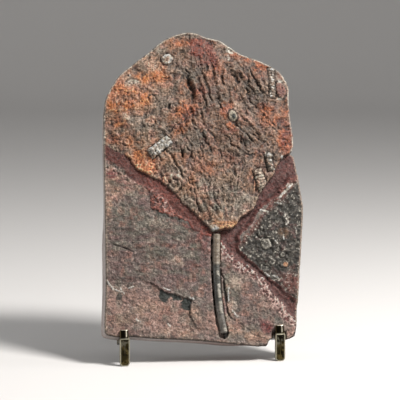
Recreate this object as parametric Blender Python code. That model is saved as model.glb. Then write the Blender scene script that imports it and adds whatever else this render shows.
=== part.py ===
"""Crinoid (sea lily) fossil in a sawn slab of rock, leaning on a small brass stand.

The slab is drawn in its own plane, in millimetres: s runs to the right along its lower edge, t runs up
its face, and n comes straight out of the face. The rock's front is a relief over the sawn plane n = 0:
a raised crown with its arms, sunk bands round it, flat panels below, and the stem standing in a groove.
Everything is turned into metres, with +Z up, by slab_to_world. The slab leans back about the ledges of
the stand, which faces -Y. The origin is on the floor under the middle of the whole object.
"""
import math

import bmesh
import bpy
import numpy as np
from mathutils import Vector, noise
from mathutils.geometry import delaunay_2d_cdt

# ---------------------------------------------------------------- driving dimensions, in millimetres
MM = 0.001                      # one millimetre in metres
REST_GAP = 0.3                  # clearance between pieces that touch

SLAB_THICKNESS = 24.0
SLAB_LEAN = math.radians(18.0)
EDGE_CHAMFER = 1.3              # worn corner all round the front face
SIDE_FLARE = (-1.1, 1.3)        # how far the left side's back edge stands out, in its upper and lower half
FLARE_SPAN = (135.0, 90.0)      # t between which it changes from the one to the other
UNDERCUT = 0.27                 # how much less the broken lower edge reaches down at the back
UNDERCUT_SPAN = (5.0, 45.0)     # s between which it sets in
SLAB_DROP = 1.1                 # how far the drawing's line t = 0 lies below the ledges

LEDGE_HEIGHT = 28.0             # floor to the ledges, at the front face
HALF_DEPTH = 72.0               # from the origin to the front of the feet and to the end of the rear leg
FOOT_WIDTH = 10.0
FOOT_CORNER = 3.6
CORNER_FACETS = 6
BAR_THICKNESS = 4.0
ARM_WIDTH = 8.0
LIP_HEIGHT = 8.5
UPRIGHT_HEIGHT = 178.0
CROSSBAR_HEIGHT = 10.0
CROSSBAR_CENTRES = (12.0, 158.0)
CROSSBAR_OVERHANG = 4.5         # past the middle of each upright's outer edge
GUSSET = (10.0, 9.6)            # length and height of the web between a ledge and its foot
LEG_LAP = 9.0                   # half of the rear leg's flat stretch on the upper crossbar
TOE_LENGTH = 15.0
ARM_CENTRES = (-85.9, 68.7)     # s of the left and the right foot
BRASS_BEVEL = 0.6

# ---------------------------------------------------------------- the slab's outline, (s, t)
REST_LINE = REST_GAP + SLAB_DROP
BOTTOM_EDGE = [(-102.4, 3.8), (-97.0, 2.5), (-91.5, REST_LINE), (-84.5, REST_LINE), (-77.0, REST_LINE),
               (-60.0, -0.6), (-41.0, -2.1), (-21.0, -3.7), (-6.0, -5.2), (13.6, -7.8), (33.4, -10.7),
               (46.4, -12.3)]
BROKEN_CORNER = [(55.2, -12.0), (56.8, -9.6), (57.4, -7.6), (59.4, -5.6), (62.0, -4.4), (62.8, REST_LINE),
                 (75.0, REST_LINE), (75.6, -6.0), (79.5, -5.3), (84.3, -2.8)]
RIGHT_EDGE = [(86.0, 4.0), (87.6, 17.0), (91.5, 46.0), (94.6, 73.0), (98.5, 105.0), (100.4, 127.0),
              (98.6, 146.0), (96.4, 168.0), (94.8, 179.0)]
RIGHT_STEP = [(91.5, 182.0), (94.3, 188.5)]
TOP_EDGE = [(94.4, 201.0), (92.5, 222.0), (92.6, 240.0), (93.2, 249.0), (89.5, 259.0), (82.0, 268.5),
            (67.0, 276.8), (51.0, 283.2), (44.0, 286.0), (33.5, 293.5), (24.0, 299.8), (10.0, 303.4),
            (0.5, 307.6), (-11.0, 308.2), (-24.0, 304.6), (-36.0, 298.4), (-49.0, 287.6), (-64.0, 276.6),
            (-78.0, 265.2), (-88.0, 252.0), (-94.4, 238.6), (-97.0, 222.0)]
LEFT_EDGE = [(-98.0, 190.0), (-99.0, 140.0), (-100.2, 88.0), (-101.6, 48.0), (-104.0, 17.0),
             (-104.2, 6.5)]

# ---------------------------------------------------------------- the lines drawn on the rock's face
CROWN_EDGE_LEFT = [(-99.0, 194.5), (-90.0, 187.0), (-75.0, 181.5), (-70.5, 172.0), (-59.0, 164.5),
                   (-45.0, 157.0), (-35.0, 149.5), (-28.0, 140.5), (-18.5, 130.0), (-9.5, 121.5),
                   (2.0, 109.5), (7.5, 104.5)]
CROWN_EDGE_RIGHT = [(16.5, 105.0), (28.0, 107.0), (38.5, 118.5), (50.0, 126.0), (56.0, 138.0),
                    (67.0, 152.5), (76.0, 164.0), (79.0, 171.0), (84.0, 177.5), (92.0, 182.5)]
BAND_EDGE_LEFT = [(-100.0, 170.0), (-81.0, 159.5), (-62.0, 150.0), (-53.5, 144.0), (-52.5, 128.0),
                  (-34.0, 120.5), (-18.0, 114.0), (-13.0, 107.0), (-4.0, 101.0), (6.5, 97.0)]
BAND_EDGE_RIGHT = [(33.5, 90.0), (36.0, 99.0), (45.5, 108.5), (54.0, 121.5), (66.0, 132.0),
                   (80.0, 144.0), (89.0, 155.0), (98.0, 159.0)]
LOW_BAND_UPPER = [(33.5, 90.0), (33.5, 84.5), (47.0, 72.0), (62.5, 56.5), (77.0, 43.0), (91.0, 30.0)]
LOW_BAND_LOWER = [(15.5, 93.0), (24.5, 80.5), (33.0, 72.5), (45.5, 64.5), (56.0, 53.5), (63.5, 41.5),
                  (72.0, 31.0), (79.0, 19.5), (88.0, 9.0)]
STEM_LINE = [(13.4, 1.5), (11.5, 13.0), (10.0, 25.0), (9.0, 40.0), (8.7, 55.0), (9.0, 70.0),
             (9.8, 85.0), (11.0, 101.0)]
STEM_RADIUS = 3.7
STEM_RISE = 0.5                 # height of the stem's centre line over the panels
STEM_GROOVE = (2.3, 1.3)        # width of the gap on the stem's left and on its right
STEM_GROOVE_DEPTH = (4.2, 2.6)
LEDGE_CHIP = [(-64.0, 56.0), (-52.0, 52.0), (-45.5, 47.0), (-32.5, 42.0), (-19.0, 37.5), (-14.0, 35.5),
              (-18.0, 31.0), (-18.5, 20.0), (-14.0, 9.8), (-8.5, 7.0), (-3.5, 8.5)]
CRACK = [(15.6, 42.0), (17.0, 31.0), (20.0, 19.5), (27.5, 12.5), (43.0, 1.0), (55.0, -6.5)]

# ---------------------------------------------------------------- heights of the face, along n
CROWN_RISE = 4.6                # the crown's brink over the panels
CROWN_DOME = 3.4                # how much further its middle stands out
CROWN_RIM = 1.4                 # its height along the slab's outline
CROWN_SHOULDER = 24.0           # how far in from the outline it reaches its full height
BAND_DEPTH = 3.6
LOW_BAND_DEPTH = 3.0
RIGHT_SLOPE = 5.0               # width of the slope from the right panel down to the band
LOWER_LAYER_DEPTH = 1.7         # the peeled layer under the ledge chip
CLIFF_WIDTH = 1.5
ARM_RISE = 2.6                  # how far the arms' ridges stand out
ARM_WANDER = 2.6                # how far a ridge strays sideways
ARM_FAN = 0.25                  # how much a bundle widens to its upper end

# Bundles of arms side by side: middle (s, t), half width, half length, lean to the left in degrees, pitch
ARM_BUNDLES = [
    ((-9.0, 210.0), 19.0, 27.0, 28, 8.4),
    ((-6.0, 181.0), 18.0, 15.0, 3, 7.8),
    ((42.0, 198.0), 24.0, 26.0, 42, 8.6),
    ((57.0, 252.0), 19.0, 29.0, 24, 8.0),
    ((0.0, 134.0), 22.0, 32.0, 20, 8.8),
    ((31.0, 162.0), 21.0, 20.0, -2, 8.4),
    ((-30.0, 167.0), 18.0, 22.0, 31, 8.6),
    ((12.0, 252.0), 23.0, 30.0, 15, 9.0),
]

# Loose ossicles and lumps: (s, t), half width, half length, turn in degrees, height
BOSSES = [
    ((-31.0, 278.5), 6.2, 6.2, 0, 2.0),        # ring columnal near the top
    ((31.0, 219.0), 4.2, 6.2, 0, 2.0),         # drop-shaped ossicle
    ((84.0, 243.0), 5.5, 9.0, 10, 2.2),        # oval boss by the right edge
    ((74.0, 179.5), 3.6, 6.0, -40, 1.6),
    ((-29.0, 149.5), 6.0, 6.5, 0, 1.8),        # round lump over the left band
    ((-15.0, 130.0), 6.5, 6.5, 0, 1.4),
    ((60.5, 91.0), 5.0, 5.0, 0, 1.2),          # ring columnal in the right panel
    ((77.5, 70.0), 4.2, 4.2, 0, 1.0),
    ((60.5, 123.5), 4.4, 1.8, -8, 1.2),
    ((77.0, 78.5), 2.8, 3.4, 0, 1.2),
    ((20.0, 109.0), 10.5, 4.2, 0, 1.2),        # base of the calyx
]
# Short stretches of stem lying in the crown: (s, t) of both ends, radius
STEM_PIECES = [
    ((-53.5, 182.5), (-31.0, 200.0), 4.6),
    ((52.5, 167.5), (58.5, 141.5), 4.6),
    ((64.0, 182.5), (67.5, 157.5), 3.6),
    ((75.5, 271.0), (73.0, 231.0), 3.6),
]
# Pits and cavities: (s, t), half width, half length, turn in degrees, depth
PITS = [
    ((-8.0, 247.5), 4.0, 11.5, 14, 2.6),
    ((38.5, 262.0), 7.5, 5.0, -25, 2.2),
    ((-89.0, 42.0), 3.6, 3.6, 0, 2.0),
    ((60.5, 2.0), 7.0, 6.5, 25, 1.8),
]


# ---------------------------------------------------------------- curves and distances
def smooth_run(points, step):
    """Points about step apart on the Catmull-Rom curve through the given ones."""
    pts = np.array(points, dtype=float)
    ends = np.vstack([2 * pts[0] - pts[1], pts, 2 * pts[-1] - pts[-2]])
    run = [pts[0]]
    for a, b, c, d in zip(ends, ends[1:], ends[2:], ends[3:]):
        count = max(1, round(float(np.linalg.norm(c - b)) / step))
        for i in range(1, count + 1):
            u = i / count
            run.append(0.5 * (2 * b + (c - a) * u + (2 * a - 5 * b + 4 * c - d) * u * u
                              + (3 * b - a - 3 * c + d) * u ** 3))
    return np.array(run)


def distance_to(line, pts):
    """Distance of each point from a polyline, and on which side it lies: +1 left of its run, -1 right."""
    a, b = line[:-1], line[1:]
    run = b - a
    rel = pts[:, None, :] - a[None, :, :]
    along = np.clip((rel * run).sum(2) / (run ** 2).sum(1), 0.0, 1.0)
    off = rel - along[..., None] * run
    dist = np.sqrt((off ** 2).sum(2))
    nearest = dist.argmin(1)
    pick = np.arange(len(pts))
    cross = run[nearest, 0] * off[pick, nearest, 1] - run[nearest, 1] * off[pick, nearest, 0]
    return dist[pick, nearest], np.where(cross >= 0, 1.0, -1.0)


def closed(loop):
    return np.vstack([loop, loop[:1]])


def inside(loop, pts):
    """Whether each point lies in a closed loop."""
    hit = np.zeros(len(pts), dtype=bool)
    for a, b in zip(loop, np.roll(loop, -1, axis=0)):
        spans = (a[1] > pts[:, 1]) != (b[1] > pts[:, 1])
        if not spans.any():
            continue
        reach = a[0] + (pts[:, 1] - a[1]) * (b[0] - a[0]) / (b[1] - a[1] or 1.0)
        hit ^= spans & (pts[:, 0] < reach)
    return hit


def ramp(x, low, high):
    """Smooth step from 0 at low to 1 at high."""
    u = np.clip((x - low) / (high - low), 0.0, 1.0)
    return u * u * (3 - 2 * u)


def ripple(pts, size, seed):
    """Soft noise between about -1 and 1, with lumps of the given size."""
    return np.array([noise.noise(Vector((s / size, t / size, seed))) for s, t in pts])


def outline_loop(step):
    """The slab's outline, counter-clockwise from its lower left corner."""
    return np.vstack([smooth_run(BOTTOM_EDGE, step), BROKEN_CORNER, smooth_run(RIGHT_EDGE, step),
                      RIGHT_STEP, smooth_run(TOP_EDGE, step), smooth_run(LEFT_EDGE, step)])


OUTLINE_STEP = 4.5
OUTLINE = outline_loop(OUTLINE_STEP)
CROWN_EDGE = smooth_run(CROWN_EDGE_LEFT + CROWN_EDGE_RIGHT, 3.0)
BAND_LEFT = smooth_run(BAND_EDGE_LEFT, 3.0)
BAND_RIGHT = smooth_run(BAND_EDGE_RIGHT, 3.0)
LOW_UPPER = smooth_run(LOW_BAND_UPPER, 3.0)
LOW_LOWER = smooth_run(LOW_BAND_LOWER, 3.0)
STEM = smooth_run(STEM_LINE, 5.0)
CHIP = smooth_run(LEDGE_CHIP, 3.0)
CRACK_LINE = smooth_run(CRACK, 4.0)

FAR = 400.0                     # well past the slab on any side
CROWN_LOOP = np.vstack([CROWN_EDGE, [(FAR, 182.5), (FAR, FAR), (-FAR, FAR), (-FAR, 194.5)]])
UPPER_BRINK = np.vstack([LOW_UPPER[::-1], BAND_RIGHT[1:]])
SUNK_LOOP = np.vstack([LOW_LOWER, UPPER_BRINK, [(FAR, 160.0), (FAR, 200.0), (8.0, 200.0), (8.0, 98.0)]])
LOWER_LAYER_LOOP = np.vstack([CHIP, [(-3.5, -FAR), (-FAR, -FAR), (-FAR, 56.0)]])


# ---------------------------------------------------------------- the relief of the face
def bundle_frame(pts, middle, lean):
    """Coordinates of points across and along a bundle of arms."""
    angle = math.radians(lean)
    rel = pts - np.array(middle)
    across = rel[:, 0] * math.cos(angle) + rel[:, 1] * math.sin(angle)
    along = -rel[:, 0] * math.sin(angle) + rel[:, 1] * math.cos(angle)
    return across, along


def arm_ridges(pts):
    """Ridges of the arms, 0 between them to 1 on their crests."""
    wander = ARM_WANDER * ripple(pts, 21.0, 3.1)
    ridges = np.zeros(len(pts))
    for middle, half_width, half_length, lean, pitch in ARM_BUNDLES:
        across, along = bundle_frame(pts, middle, lean)
        fan = 1.0 + ARM_FAN * along / half_length
        wave = np.abs(np.cos(math.pi * (across / fan + wander) / pitch))
        reach = np.sqrt((across / half_width) ** 2 + (along / half_length) ** 2)
        ridges = np.maximum(ridges, wave * ramp(reach, 1.0, 0.7))
    return ridges


def crown_height(pts, depth_in):
    """Height of the crown at points that lie depth_in inside its edge."""
    rim_dist, _ = distance_to(closed(OUTLINE), pts)
    full = CROWN_RISE + CROWN_DOME * ramp(depth_in, 0.0, 45.0) - CROWN_RIM
    lumps = 1.8 * ripple(pts, 26.0, 7.7) + 1.6 * ripple(pts, 9.0, 2.4)
    rough = ARM_RISE * (arm_ridges(pts) - 0.4) + lumps
    return CROWN_RIM + full * ramp(rim_dist, 0.0, CROWN_SHOULDER) + rough * ramp(rim_dist, -3.0, 9.0)


def add_oval(height, pts, centre, half_width, half_length, turn, rise):
    """Raise, or for a negative rise sink, a domed oval."""
    angle = math.radians(turn)
    rel = pts - np.array(centre)
    across = rel[:, 0] * math.cos(angle) + rel[:, 1] * math.sin(angle)
    along = -rel[:, 0] * math.sin(angle) + rel[:, 1] * math.cos(angle)
    reach = (across / half_width) ** 2 + (along / half_length) ** 2
    return height + rise * np.sqrt(np.clip(1.0 - reach, 0.0, 1.0))


def relief(pts):
    """Height of the rock's face over the sawn plane, for an array of (s, t)."""
    height = 0.7 * ripple(pts, 34.0, 5.3) + 0.4 * ripple(pts, 13.0, 9.1)

    in_crown = inside(CROWN_LOOP, pts)
    crown_dist, _ = distance_to(CROWN_EDGE, pts)
    band_left, side_left = distance_to(BAND_LEFT, pts)
    in_band_left = ~in_crown & (side_left > 0) & (pts[:, 0] < 8.0)
    fade = 0.35 + 0.65 * ramp(pts[:, 0], -92.0, -55.0)
    left_depth = fade * BAND_DEPTH * ramp(crown_dist, 14.0, 5.0) * ramp(band_left, 0.0, 4.0)
    height = np.where(in_band_left, height + 0.9 * ramp(band_left, 0.0, 1.2) - left_depth, height)

    low_dist = np.minimum(distance_to(LOW_UPPER, pts)[0], distance_to(LOW_LOWER, pts)[0])
    away = np.minimum(ramp(low_dist, 0.0, 2.2), ramp(distance_to(BAND_RIGHT, pts)[0], 0.0, RIGHT_SLOPE))
    depth = LOW_BAND_DEPTH + (BAND_DEPTH - LOW_BAND_DEPTH) * ramp(pts[:, 1], 84.0, 100.0)
    in_sunk = inside(SUNK_LOOP, pts) & ~in_crown
    height = np.where(in_sunk, height - depth * away, height)

    layer = inside(LOWER_LAYER_LOOP, pts) * ramp(distance_to(CHIP, pts)[0], 0.0, 1.0)
    layer = layer * ramp(pts[:, 0], -72.0, -52.0) * ramp(pts[:, 1], -4.0, 22.0)
    height = height - LOWER_LAYER_DEPTH * layer
    crack_dist, _ = distance_to(CRACK_LINE, pts)
    height = height - 1.2 * ramp(crack_dist, 1.6, 0.0)

    rise = ramp(crown_dist, 0.0, CLIFF_WIDTH)
    height = np.where(in_crown, -1.0 + (crown_height(pts, crown_dist) + 1.0) * rise, height)

    for centre, half_width, half_length, turn, up in BOSSES:
        height = add_oval(height, pts, centre, half_width, half_length, turn, up)
    for centre, half_width, half_length, turn, down in PITS:
        height = add_oval(height, pts, centre, half_width, half_length, turn, -down)
    for start, end, radius in STEM_PIECES:
        away, _ = distance_to(np.array([start, end]), pts)
        height = height + 0.75 * radius * np.sqrt(np.clip(1 - (away / radius) ** 2, 0.0, 1.0))

    return bear_on_lips(pts, carve_stem(pts, height))


def bear_on_lips(pts, height):
    """Level the face behind the lips of the stand, so that it bears on them."""
    for middle in ARM_CENTRES:
        beyond_s = np.abs(pts[:, 0] - middle) - ARM_WIDTH / 2
        beyond = np.maximum(beyond_s, pts[:, 1] - LIP_HEIGHT - SLAB_DROP)
        height = np.minimum(height, np.maximum(height, 0.0) * ramp(beyond, 6.0, 16.0))
    return height


def carve_stem(pts, height):
    """Sink a groove on both sides of the stem and set its barrel in it."""
    away, side = distance_to(STEM, pts)
    on_left = side > 0
    gap = np.where(on_left, STEM_GROOVE[0], STEM_GROOVE[1])
    sunk = np.where(on_left, STEM_GROOVE_DEPTH[0], STEM_GROOVE_DEPTH[1])
    past = away - STEM_RADIUS
    free = (pts[:, 1] < STEM_LINE[-1][1] - 2.0) & (past < gap)
    height = np.where(free, height - sunk * ramp(past, gap, gap - 0.7), height)
    barrel = STEM_RISE + np.sqrt(np.clip(STEM_RADIUS ** 2 - away ** 2, 0.0, None))
    return np.where(past < 0, np.maximum(barrel, height), height)


# ---------------------------------------------------------------- placing the slab in the world
def back_outline():
    """The slab's outline at its back, where the left side flares and the lower edge is undercut."""
    s, t = OUTLINE[:, 0], OUTLINE[:, 1]
    flare = SIDE_FLARE[0] + (SIDE_FLARE[1] - SIDE_FLARE[0]) * ramp(t, *FLARE_SPAN)
    raised = 1.0 - UNDERCUT * ramp(s, *UNDERCUT_SPAN)
    return np.column_stack([s - flare * ramp(-s, 60.0, 98.0), np.where(t < 0, t * raised, t)])


BACK_OUTLINE = back_outline()
SLAB_MIDDLE = (min(OUTLINE[:, 0].min(), BACK_OUTLINE[:, 0].min()) + OUTLINE[:, 0].max()) / 2
FOOT_FRONT = 5.5                # front of the feet, ahead of the slab's lower front edge
TOE_Y = FOOT_FRONT - HALF_DEPTH


def lean_point(n, t):
    """World (y, z), in millimetres, of a point of the slab's side view."""
    y = TOE_Y + t * math.sin(SLAB_LEAN) - n * math.cos(SLAB_LEAN)
    z = LEDGE_HEIGHT + t * math.cos(SLAB_LEAN) + n * math.sin(SLAB_LEAN)
    return y, z


def slab_to_world(s, t, n):
    y, z = lean_point(n, t - SLAB_DROP)
    return Vector(((s - SLAB_MIDDLE) * MM, y * MM, z * MM))


# ---------------------------------------------------------------- where the face's corners go
def beside(line, gaps):
    """Rows of points along a line, one row at each distance to its left."""
    run = np.gradient(line, axis=0)
    run /= np.linalg.norm(run, axis=1)[:, None]
    left = np.column_stack([-run[:, 1], run[:, 0]])
    return np.vstack([line + gap * left for gap in gaps])


def oval_points(centre, half_width, half_length, turn):
    """A centre and two rings of points on an oval form."""
    angle = math.radians(turn)
    pts = [centre]
    for ring, count in ((0.62, 6), (1.04, 9)):
        for i in range(count):
            u = 2 * math.pi * i / count
            x, y = ring * half_width * math.cos(u), ring * half_length * math.sin(u)
            pts.append((centre[0] + x * math.cos(angle) - y * math.sin(angle),
                        centre[1] + x * math.sin(angle) + y * math.cos(angle)))
    return np.array(pts)


def arm_points(middle, half_width, half_length, lean, pitch, step=5.0):
    """Points along each crest and each furrow of one bundle of arms."""
    angle = math.radians(lean)
    right = np.array([math.cos(angle), math.sin(angle)])
    upward = np.array([-math.sin(angle), math.cos(angle)])
    lanes = int(2 * half_width / pitch)
    along = np.arange(-0.9 * half_length, half_length, step)
    fan = 1.0 + ARM_FAN * along / half_length
    rows = []
    for lane in range(-lanes, lanes + 1):
        guess = middle + np.outer(lane * pitch / 2 * fan, right) + np.outer(along, upward)
        across = (lane * pitch / 2 - ARM_WANDER * ripple(guess, 21.0, 3.1)) * fan
        reach = (across / half_width) ** 2 + (along / half_length) ** 2
        lane_points = middle + np.outer(across, right) + np.outer(along, upward)
        rows.append(lane_points[reach < 0.9])
    return np.vstack(rows)


def feature_points():
    """Points that follow each edge, groove and ossicle, most important first."""
    left_wall, right_wall = STEM_RADIUS + STEM_GROOVE[0], STEM_RADIUS + STEM_GROOVE[1]
    barrel_rows = [STEM_RADIUS * share for share in (-0.97, -0.6, 0.0, 0.6, 0.97)]
    groove_rows = [left_wall, left_wall - 0.8, -right_wall, -right_wall + 0.8]
    rows = [beside(STEM, barrel_rows), beside(STEM, groove_rows)]
    rows += [oval_points(*boss[:4]) for boss in BOSSES]
    for start, end, half in STEM_PIECES:
        ends = np.array([start, end])
        length = float(np.linalg.norm(ends[1] - ends[0]))
        spine = smooth_run([start, end], length / max(2, round(length / 5.0)))
        rows.append(beside(spine, (-half - 0.3, -half * 0.6, half * 0.6, half + 0.3)))
    rows.append(beside(CROWN_EDGE, (0.2, CLIFF_WIDTH + 0.2)))
    rows.append(beside(CROWN_EDGE, (-4.5,)))
    rows.append(beside(CHIP, (0.1, -1.2)))
    rows.append(beside(BAND_LEFT, (-0.3, 1.3)))
    rows.append(beside(BAND_RIGHT, (-0.1, RIGHT_SLOPE)))
    rows.append(beside(LOW_UPPER, (-0.1, -2.2)))
    rows.append(beside(LOW_LOWER, (0.1, 2.2)))
    rows.append(beside(CRACK_LINE, (0.0, 1.7)))
    rows += [oval_points(*pit[:4]) for pit in PITS]
    return np.vstack(rows)


def lattice(step):
    """A triangular lattice over the slab's box."""
    low, high = OUTLINE.min(0), OUTLINE.max(0)
    rows = []
    for i, t in enumerate(np.arange(low[1], high[1], step * math.sqrt(0.75))):
        shift = step / 2 if i % 2 else 0.0
        s = np.arange(low[0] + shift, high[0], step)
        rows.append(np.column_stack([s, np.full_like(s, t)]))
    return np.vstack(rows)


def thin_out(kept, extra, space):
    """Add to kept those extra points that stay the given space from every point before them."""
    for point in extra:
        if ((kept - point) ** 2).sum(1).min() >= space ** 2:
            kept = np.vstack([kept, point])
    return kept


CROWN_STEP = 3.5
PANEL_STEP = 7.5
FEATURE_SPACE = 0.7
ARM_SPACE = 2.4


def face_points():
    """Every corner of the front face's triangles; the outline's come first."""
    run = np.roll(OUTLINE, -1, axis=0) - np.roll(OUTLINE, 1, axis=0)
    run /= np.linalg.norm(run, axis=1)[:, None]
    inner = OUTLINE + EDGE_CHAMFER * np.column_stack([-run[:, 1], run[:, 0]])
    pts = thin_out(OUTLINE, inner, EDGE_CHAMFER * 0.8)
    pts = thin_out(pts, feature_points(), FEATURE_SPACE)
    for bundle in ARM_BUNDLES:
        pts = thin_out(pts, arm_points(*bundle), ARM_SPACE)
    fine = lattice(CROWN_STEP)
    pts = thin_out(pts, fine[inside(CROWN_LOOP, fine)], CROWN_STEP * 0.75)
    pts = thin_out(pts, lattice(PANEL_STEP), PANEL_STEP * 0.55)
    within = inside(OUTLINE, pts)
    within &= distance_to(closed(OUTLINE), pts)[0] > EDGE_CHAMFER * 0.6
    within[:len(OUTLINE)] = True
    return pts[within]


# ---------------------------------------------------------------- making objects
def material(name, color, roughness, metallic):
    mat = bpy.data.materials.new(name)
    mat.use_nodes = True
    shader = mat.node_tree.nodes["Principled BSDF"]
    shader.inputs["Base Color"].default_value = (*color, 1.0)
    shader.inputs["Roughness"].default_value = roughness
    shader.inputs["Metallic"].default_value = metallic
    return mat


def rock(name):
    return material(name, (0.23, 0.14, 0.11), 0.85, 0.0)


def brass(name):
    return material(name, (0.60, 0.46, 0.20), 0.28, 1.0)


def add_object(name, mesh, mat):
    obj = bpy.data.objects.new(name, mesh)
    bpy.context.scene.collection.objects.link(obj)
    mesh.materials.append(mat)
    return obj


def make_slab():
    """The whole stone: relief face, sawn sides and sawn back, as one closed body."""
    pts = face_points()
    rim = len(OUTLINE)
    rim_edges = [(i, (i + 1) % rim) for i in range(rim)]
    flat, _, triangles, sources, _, _ = delaunay_2d_cdt(
        [Vector(p) for p in pts], rim_edges, [], 0, 1e-6, True)
    made_from = {source: i for i, listed in enumerate(sources) for source in listed}
    pts = np.array([tuple(p) for p in flat])
    centres = pts[np.array(triangles)].mean(axis=1)
    within = inside(OUTLINE, centres)
    edge_dist, _ = distance_to(closed(OUTLINE), pts)
    heights = relief(pts) - EDGE_CHAMFER * ramp(edge_dist, EDGE_CHAMFER, 0.0)

    bm = bmesh.new()
    front = [bm.verts.new(slab_to_world(s, t, n)) for (s, t), n in zip(pts, heights)]
    for triangle, kept in zip(triangles, within):
        if kept:
            bm.faces.new([front[i] for i in triangle])
    brink = [front[made_from[i]] for i in range(rim)]

    back = [bm.verts.new(slab_to_world(s, t, -SLAB_THICKNESS)) for s, t in BACK_OUTLINE]
    for i in range(rim):
        j = (i + 1) % rim
        bm.faces.new([brink[j], brink[i], back[i]])
        bm.faces.new([brink[j], back[i], back[j]])
    bm.faces.new(back[::-1])
    bmesh.ops.recalc_face_normals(bm, faces=bm.faces)

    mesh = bpy.data.meshes.new("fossil_slab")
    bm.to_mesh(mesh)
    bm.free()
    return add_object("fossil_slab", mesh, rock("rock"))


def brass_prism(name, near_loop, far_loop):
    """A brass bar between two equal loops of world points in millimetres, with softened corners."""
    bm = bmesh.new()
    near = [bm.verts.new(Vector(point) * MM) for point in near_loop]
    far = [bm.verts.new(Vector(point) * MM) for point in far_loop]
    bm.faces.new(near)
    bm.faces.new(far[::-1])
    for i in range(len(near)):
        j = (i + 1) % len(near)
        bm.faces.new([near[i], far[i], far[j], near[j]])
    bmesh.ops.recalc_face_normals(bm, faces=bm.faces)
    mesh = bpy.data.meshes.new(name)
    bm.to_mesh(mesh)
    bm.free()
    obj = add_object(name, mesh, brass(name + "_brass"))
    bevel = obj.modifiers.new("soft_edges", "BEVEL")
    bevel.width = BRASS_BEVEL * MM
    bevel.segments = 1
    bevel.limit_method = "ANGLE"
    bevel.angle_limit = math.radians(40.0)
    return obj


def extruded(name, profile, x_middle, width):
    """A bar whose side view is profile, a loop of world (y, z)."""
    low, high = x_middle - width / 2, x_middle + width / 2
    return brass_prism(name, [(low, y, z) for y, z in profile], [(high, y, z) for y, z in profile])


def foot_outline(x_middle, height):
    """Front view of a foot: square shoulders on top and round corners on the floor."""
    half, corner = FOOT_WIDTH / 2, FOOT_CORNER
    loop = [(x_middle - half, height)]
    for i in range(CORNER_FACETS + 1):
        turn = math.radians(90.0 * i / CORNER_FACETS)
        loop.append((x_middle - half + corner * (1 - math.cos(turn)), corner * (1 - math.sin(turn))))
    mirrored = [(2 * x_middle - x, z) for x, z in reversed(loop)]
    return loop + mirrored


def make_foot(name, x_middle):
    """A flat plate that stands upright on the floor, ahead of the slab."""
    loop = foot_outline(x_middle, LEDGE_HEIGHT - REST_GAP)
    front, rear = TOE_Y - FOOT_FRONT, TOE_Y - FOOT_FRONT + BAR_THICKNESS
    return brass_prism(name, [(x, front, z) for x, z in loop], [(x, rear, z) for x, z in loop])


def make_arm(name, x_middle):
    """A strap with a lip that stands on the foot, a ledge under the slab and an upright behind it."""
    lip_back, lip_front = REST_GAP, REST_GAP + BAR_THICKNESS
    upright_front = -SLAB_THICKNESS - REST_GAP
    upright_back = upright_front - BAR_THICKNESS
    butt_y = TOE_Y - FOOT_FRONT + BAR_THICKNESS + REST_GAP
    lip_y, lip_z = lean_point(lip_front, 0.0)
    seat_y = lip_y - (lip_z - LEDGE_HEIGHT) * math.tan(SLAB_LEAN)
    profile = [
        lean_point(lip_front, LIP_HEIGHT),
        lean_point(lip_back, LIP_HEIGHT),
        lean_point(lip_back, 0.0),
        lean_point(upright_front, 0.0),
        lean_point(upright_front, UPRIGHT_HEIGHT),
        lean_point(upright_back, UPRIGHT_HEIGHT),
        lean_point(upright_back, -BAR_THICKNESS),
        lean_point(-GUSSET[0], -BAR_THICKNESS),
        (butt_y, LEDGE_HEIGHT - GUSSET[1]),
        (butt_y, LEDGE_HEIGHT),
        (seat_y, LEDGE_HEIGHT),
    ]
    return extruded(name, profile, x_middle, ARM_WIDTH)


def make_crossbar(name, t_middle, x_left, x_right):
    """A flat bar behind both uprights."""
    near = -SLAB_THICKNESS - 2 * REST_GAP - BAR_THICKNESS
    far = near - BAR_THICKNESS
    half = CROSSBAR_HEIGHT / 2
    profile = [lean_point(near, t_middle - half), lean_point(near, t_middle + half),
               lean_point(far, t_middle + half), lean_point(far, t_middle - half)]
    width = x_right - x_left + ARM_WIDTH + 2 * CROSSBAR_OVERHANG
    return extruded(name, profile, (x_left + x_right) / 2, width)


def make_rear_leg(name, x_middle):
    """A strut that lies flat on the upper crossbar, then slopes to the floor and ends in a flat toe."""
    near = -SLAB_THICKNESS - 3 * REST_GAP - 2 * BAR_THICKNESS
    far = near - BAR_THICKNESS
    top, knee = CROSSBAR_CENTRES[1] + LEG_LAP, CROSSBAR_CENTRES[1] - LEG_LAP
    heel_y = HALF_DEPTH - TOE_LENGTH
    knee_y, knee_z = lean_point(far, knee)
    slope = math.atan2(heel_y - knee_y, knee_z - BAR_THICKNESS)
    heel_bottom = heel_y - BAR_THICKNESS / math.cos(slope)
    near_knee_y, near_knee_z = lean_point(near, knee)
    profile = [
        lean_point(near, top),
        lean_point(far, top),
        (knee_y, knee_z),
        (heel_y, BAR_THICKNESS),
        (HALF_DEPTH, BAR_THICKNESS),
        (HALF_DEPTH, 0.0),
        (heel_bottom, 0.0),
        (near_knee_y, near_knee_z),
    ]
    return extruded(name, profile, x_middle, FOOT_WIDTH)


def make_stand():
    """The brass stand: two feet, two arms, two crossbars and the rear leg."""
    x_left, x_right = (s - SLAB_MIDDLE for s in ARM_CENTRES)
    make_foot("left_foot", x_left)
    make_foot("right_foot", x_right)
    make_arm("left_arm", x_left)
    make_arm("right_arm", x_right)
    make_crossbar("lower_crossbar", CROSSBAR_CENTRES[0], x_left, x_right)
    make_crossbar("upper_crossbar", CROSSBAR_CENTRES[1], x_left, x_right)
    make_rear_leg("rear_leg", (x_left + x_right) / 2)


def clear_scene():
    for obj in list(bpy.data.objects):
        bpy.data.objects.remove(obj, do_unlink=True)


clear_scene()
make_slab()
make_stand()
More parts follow.
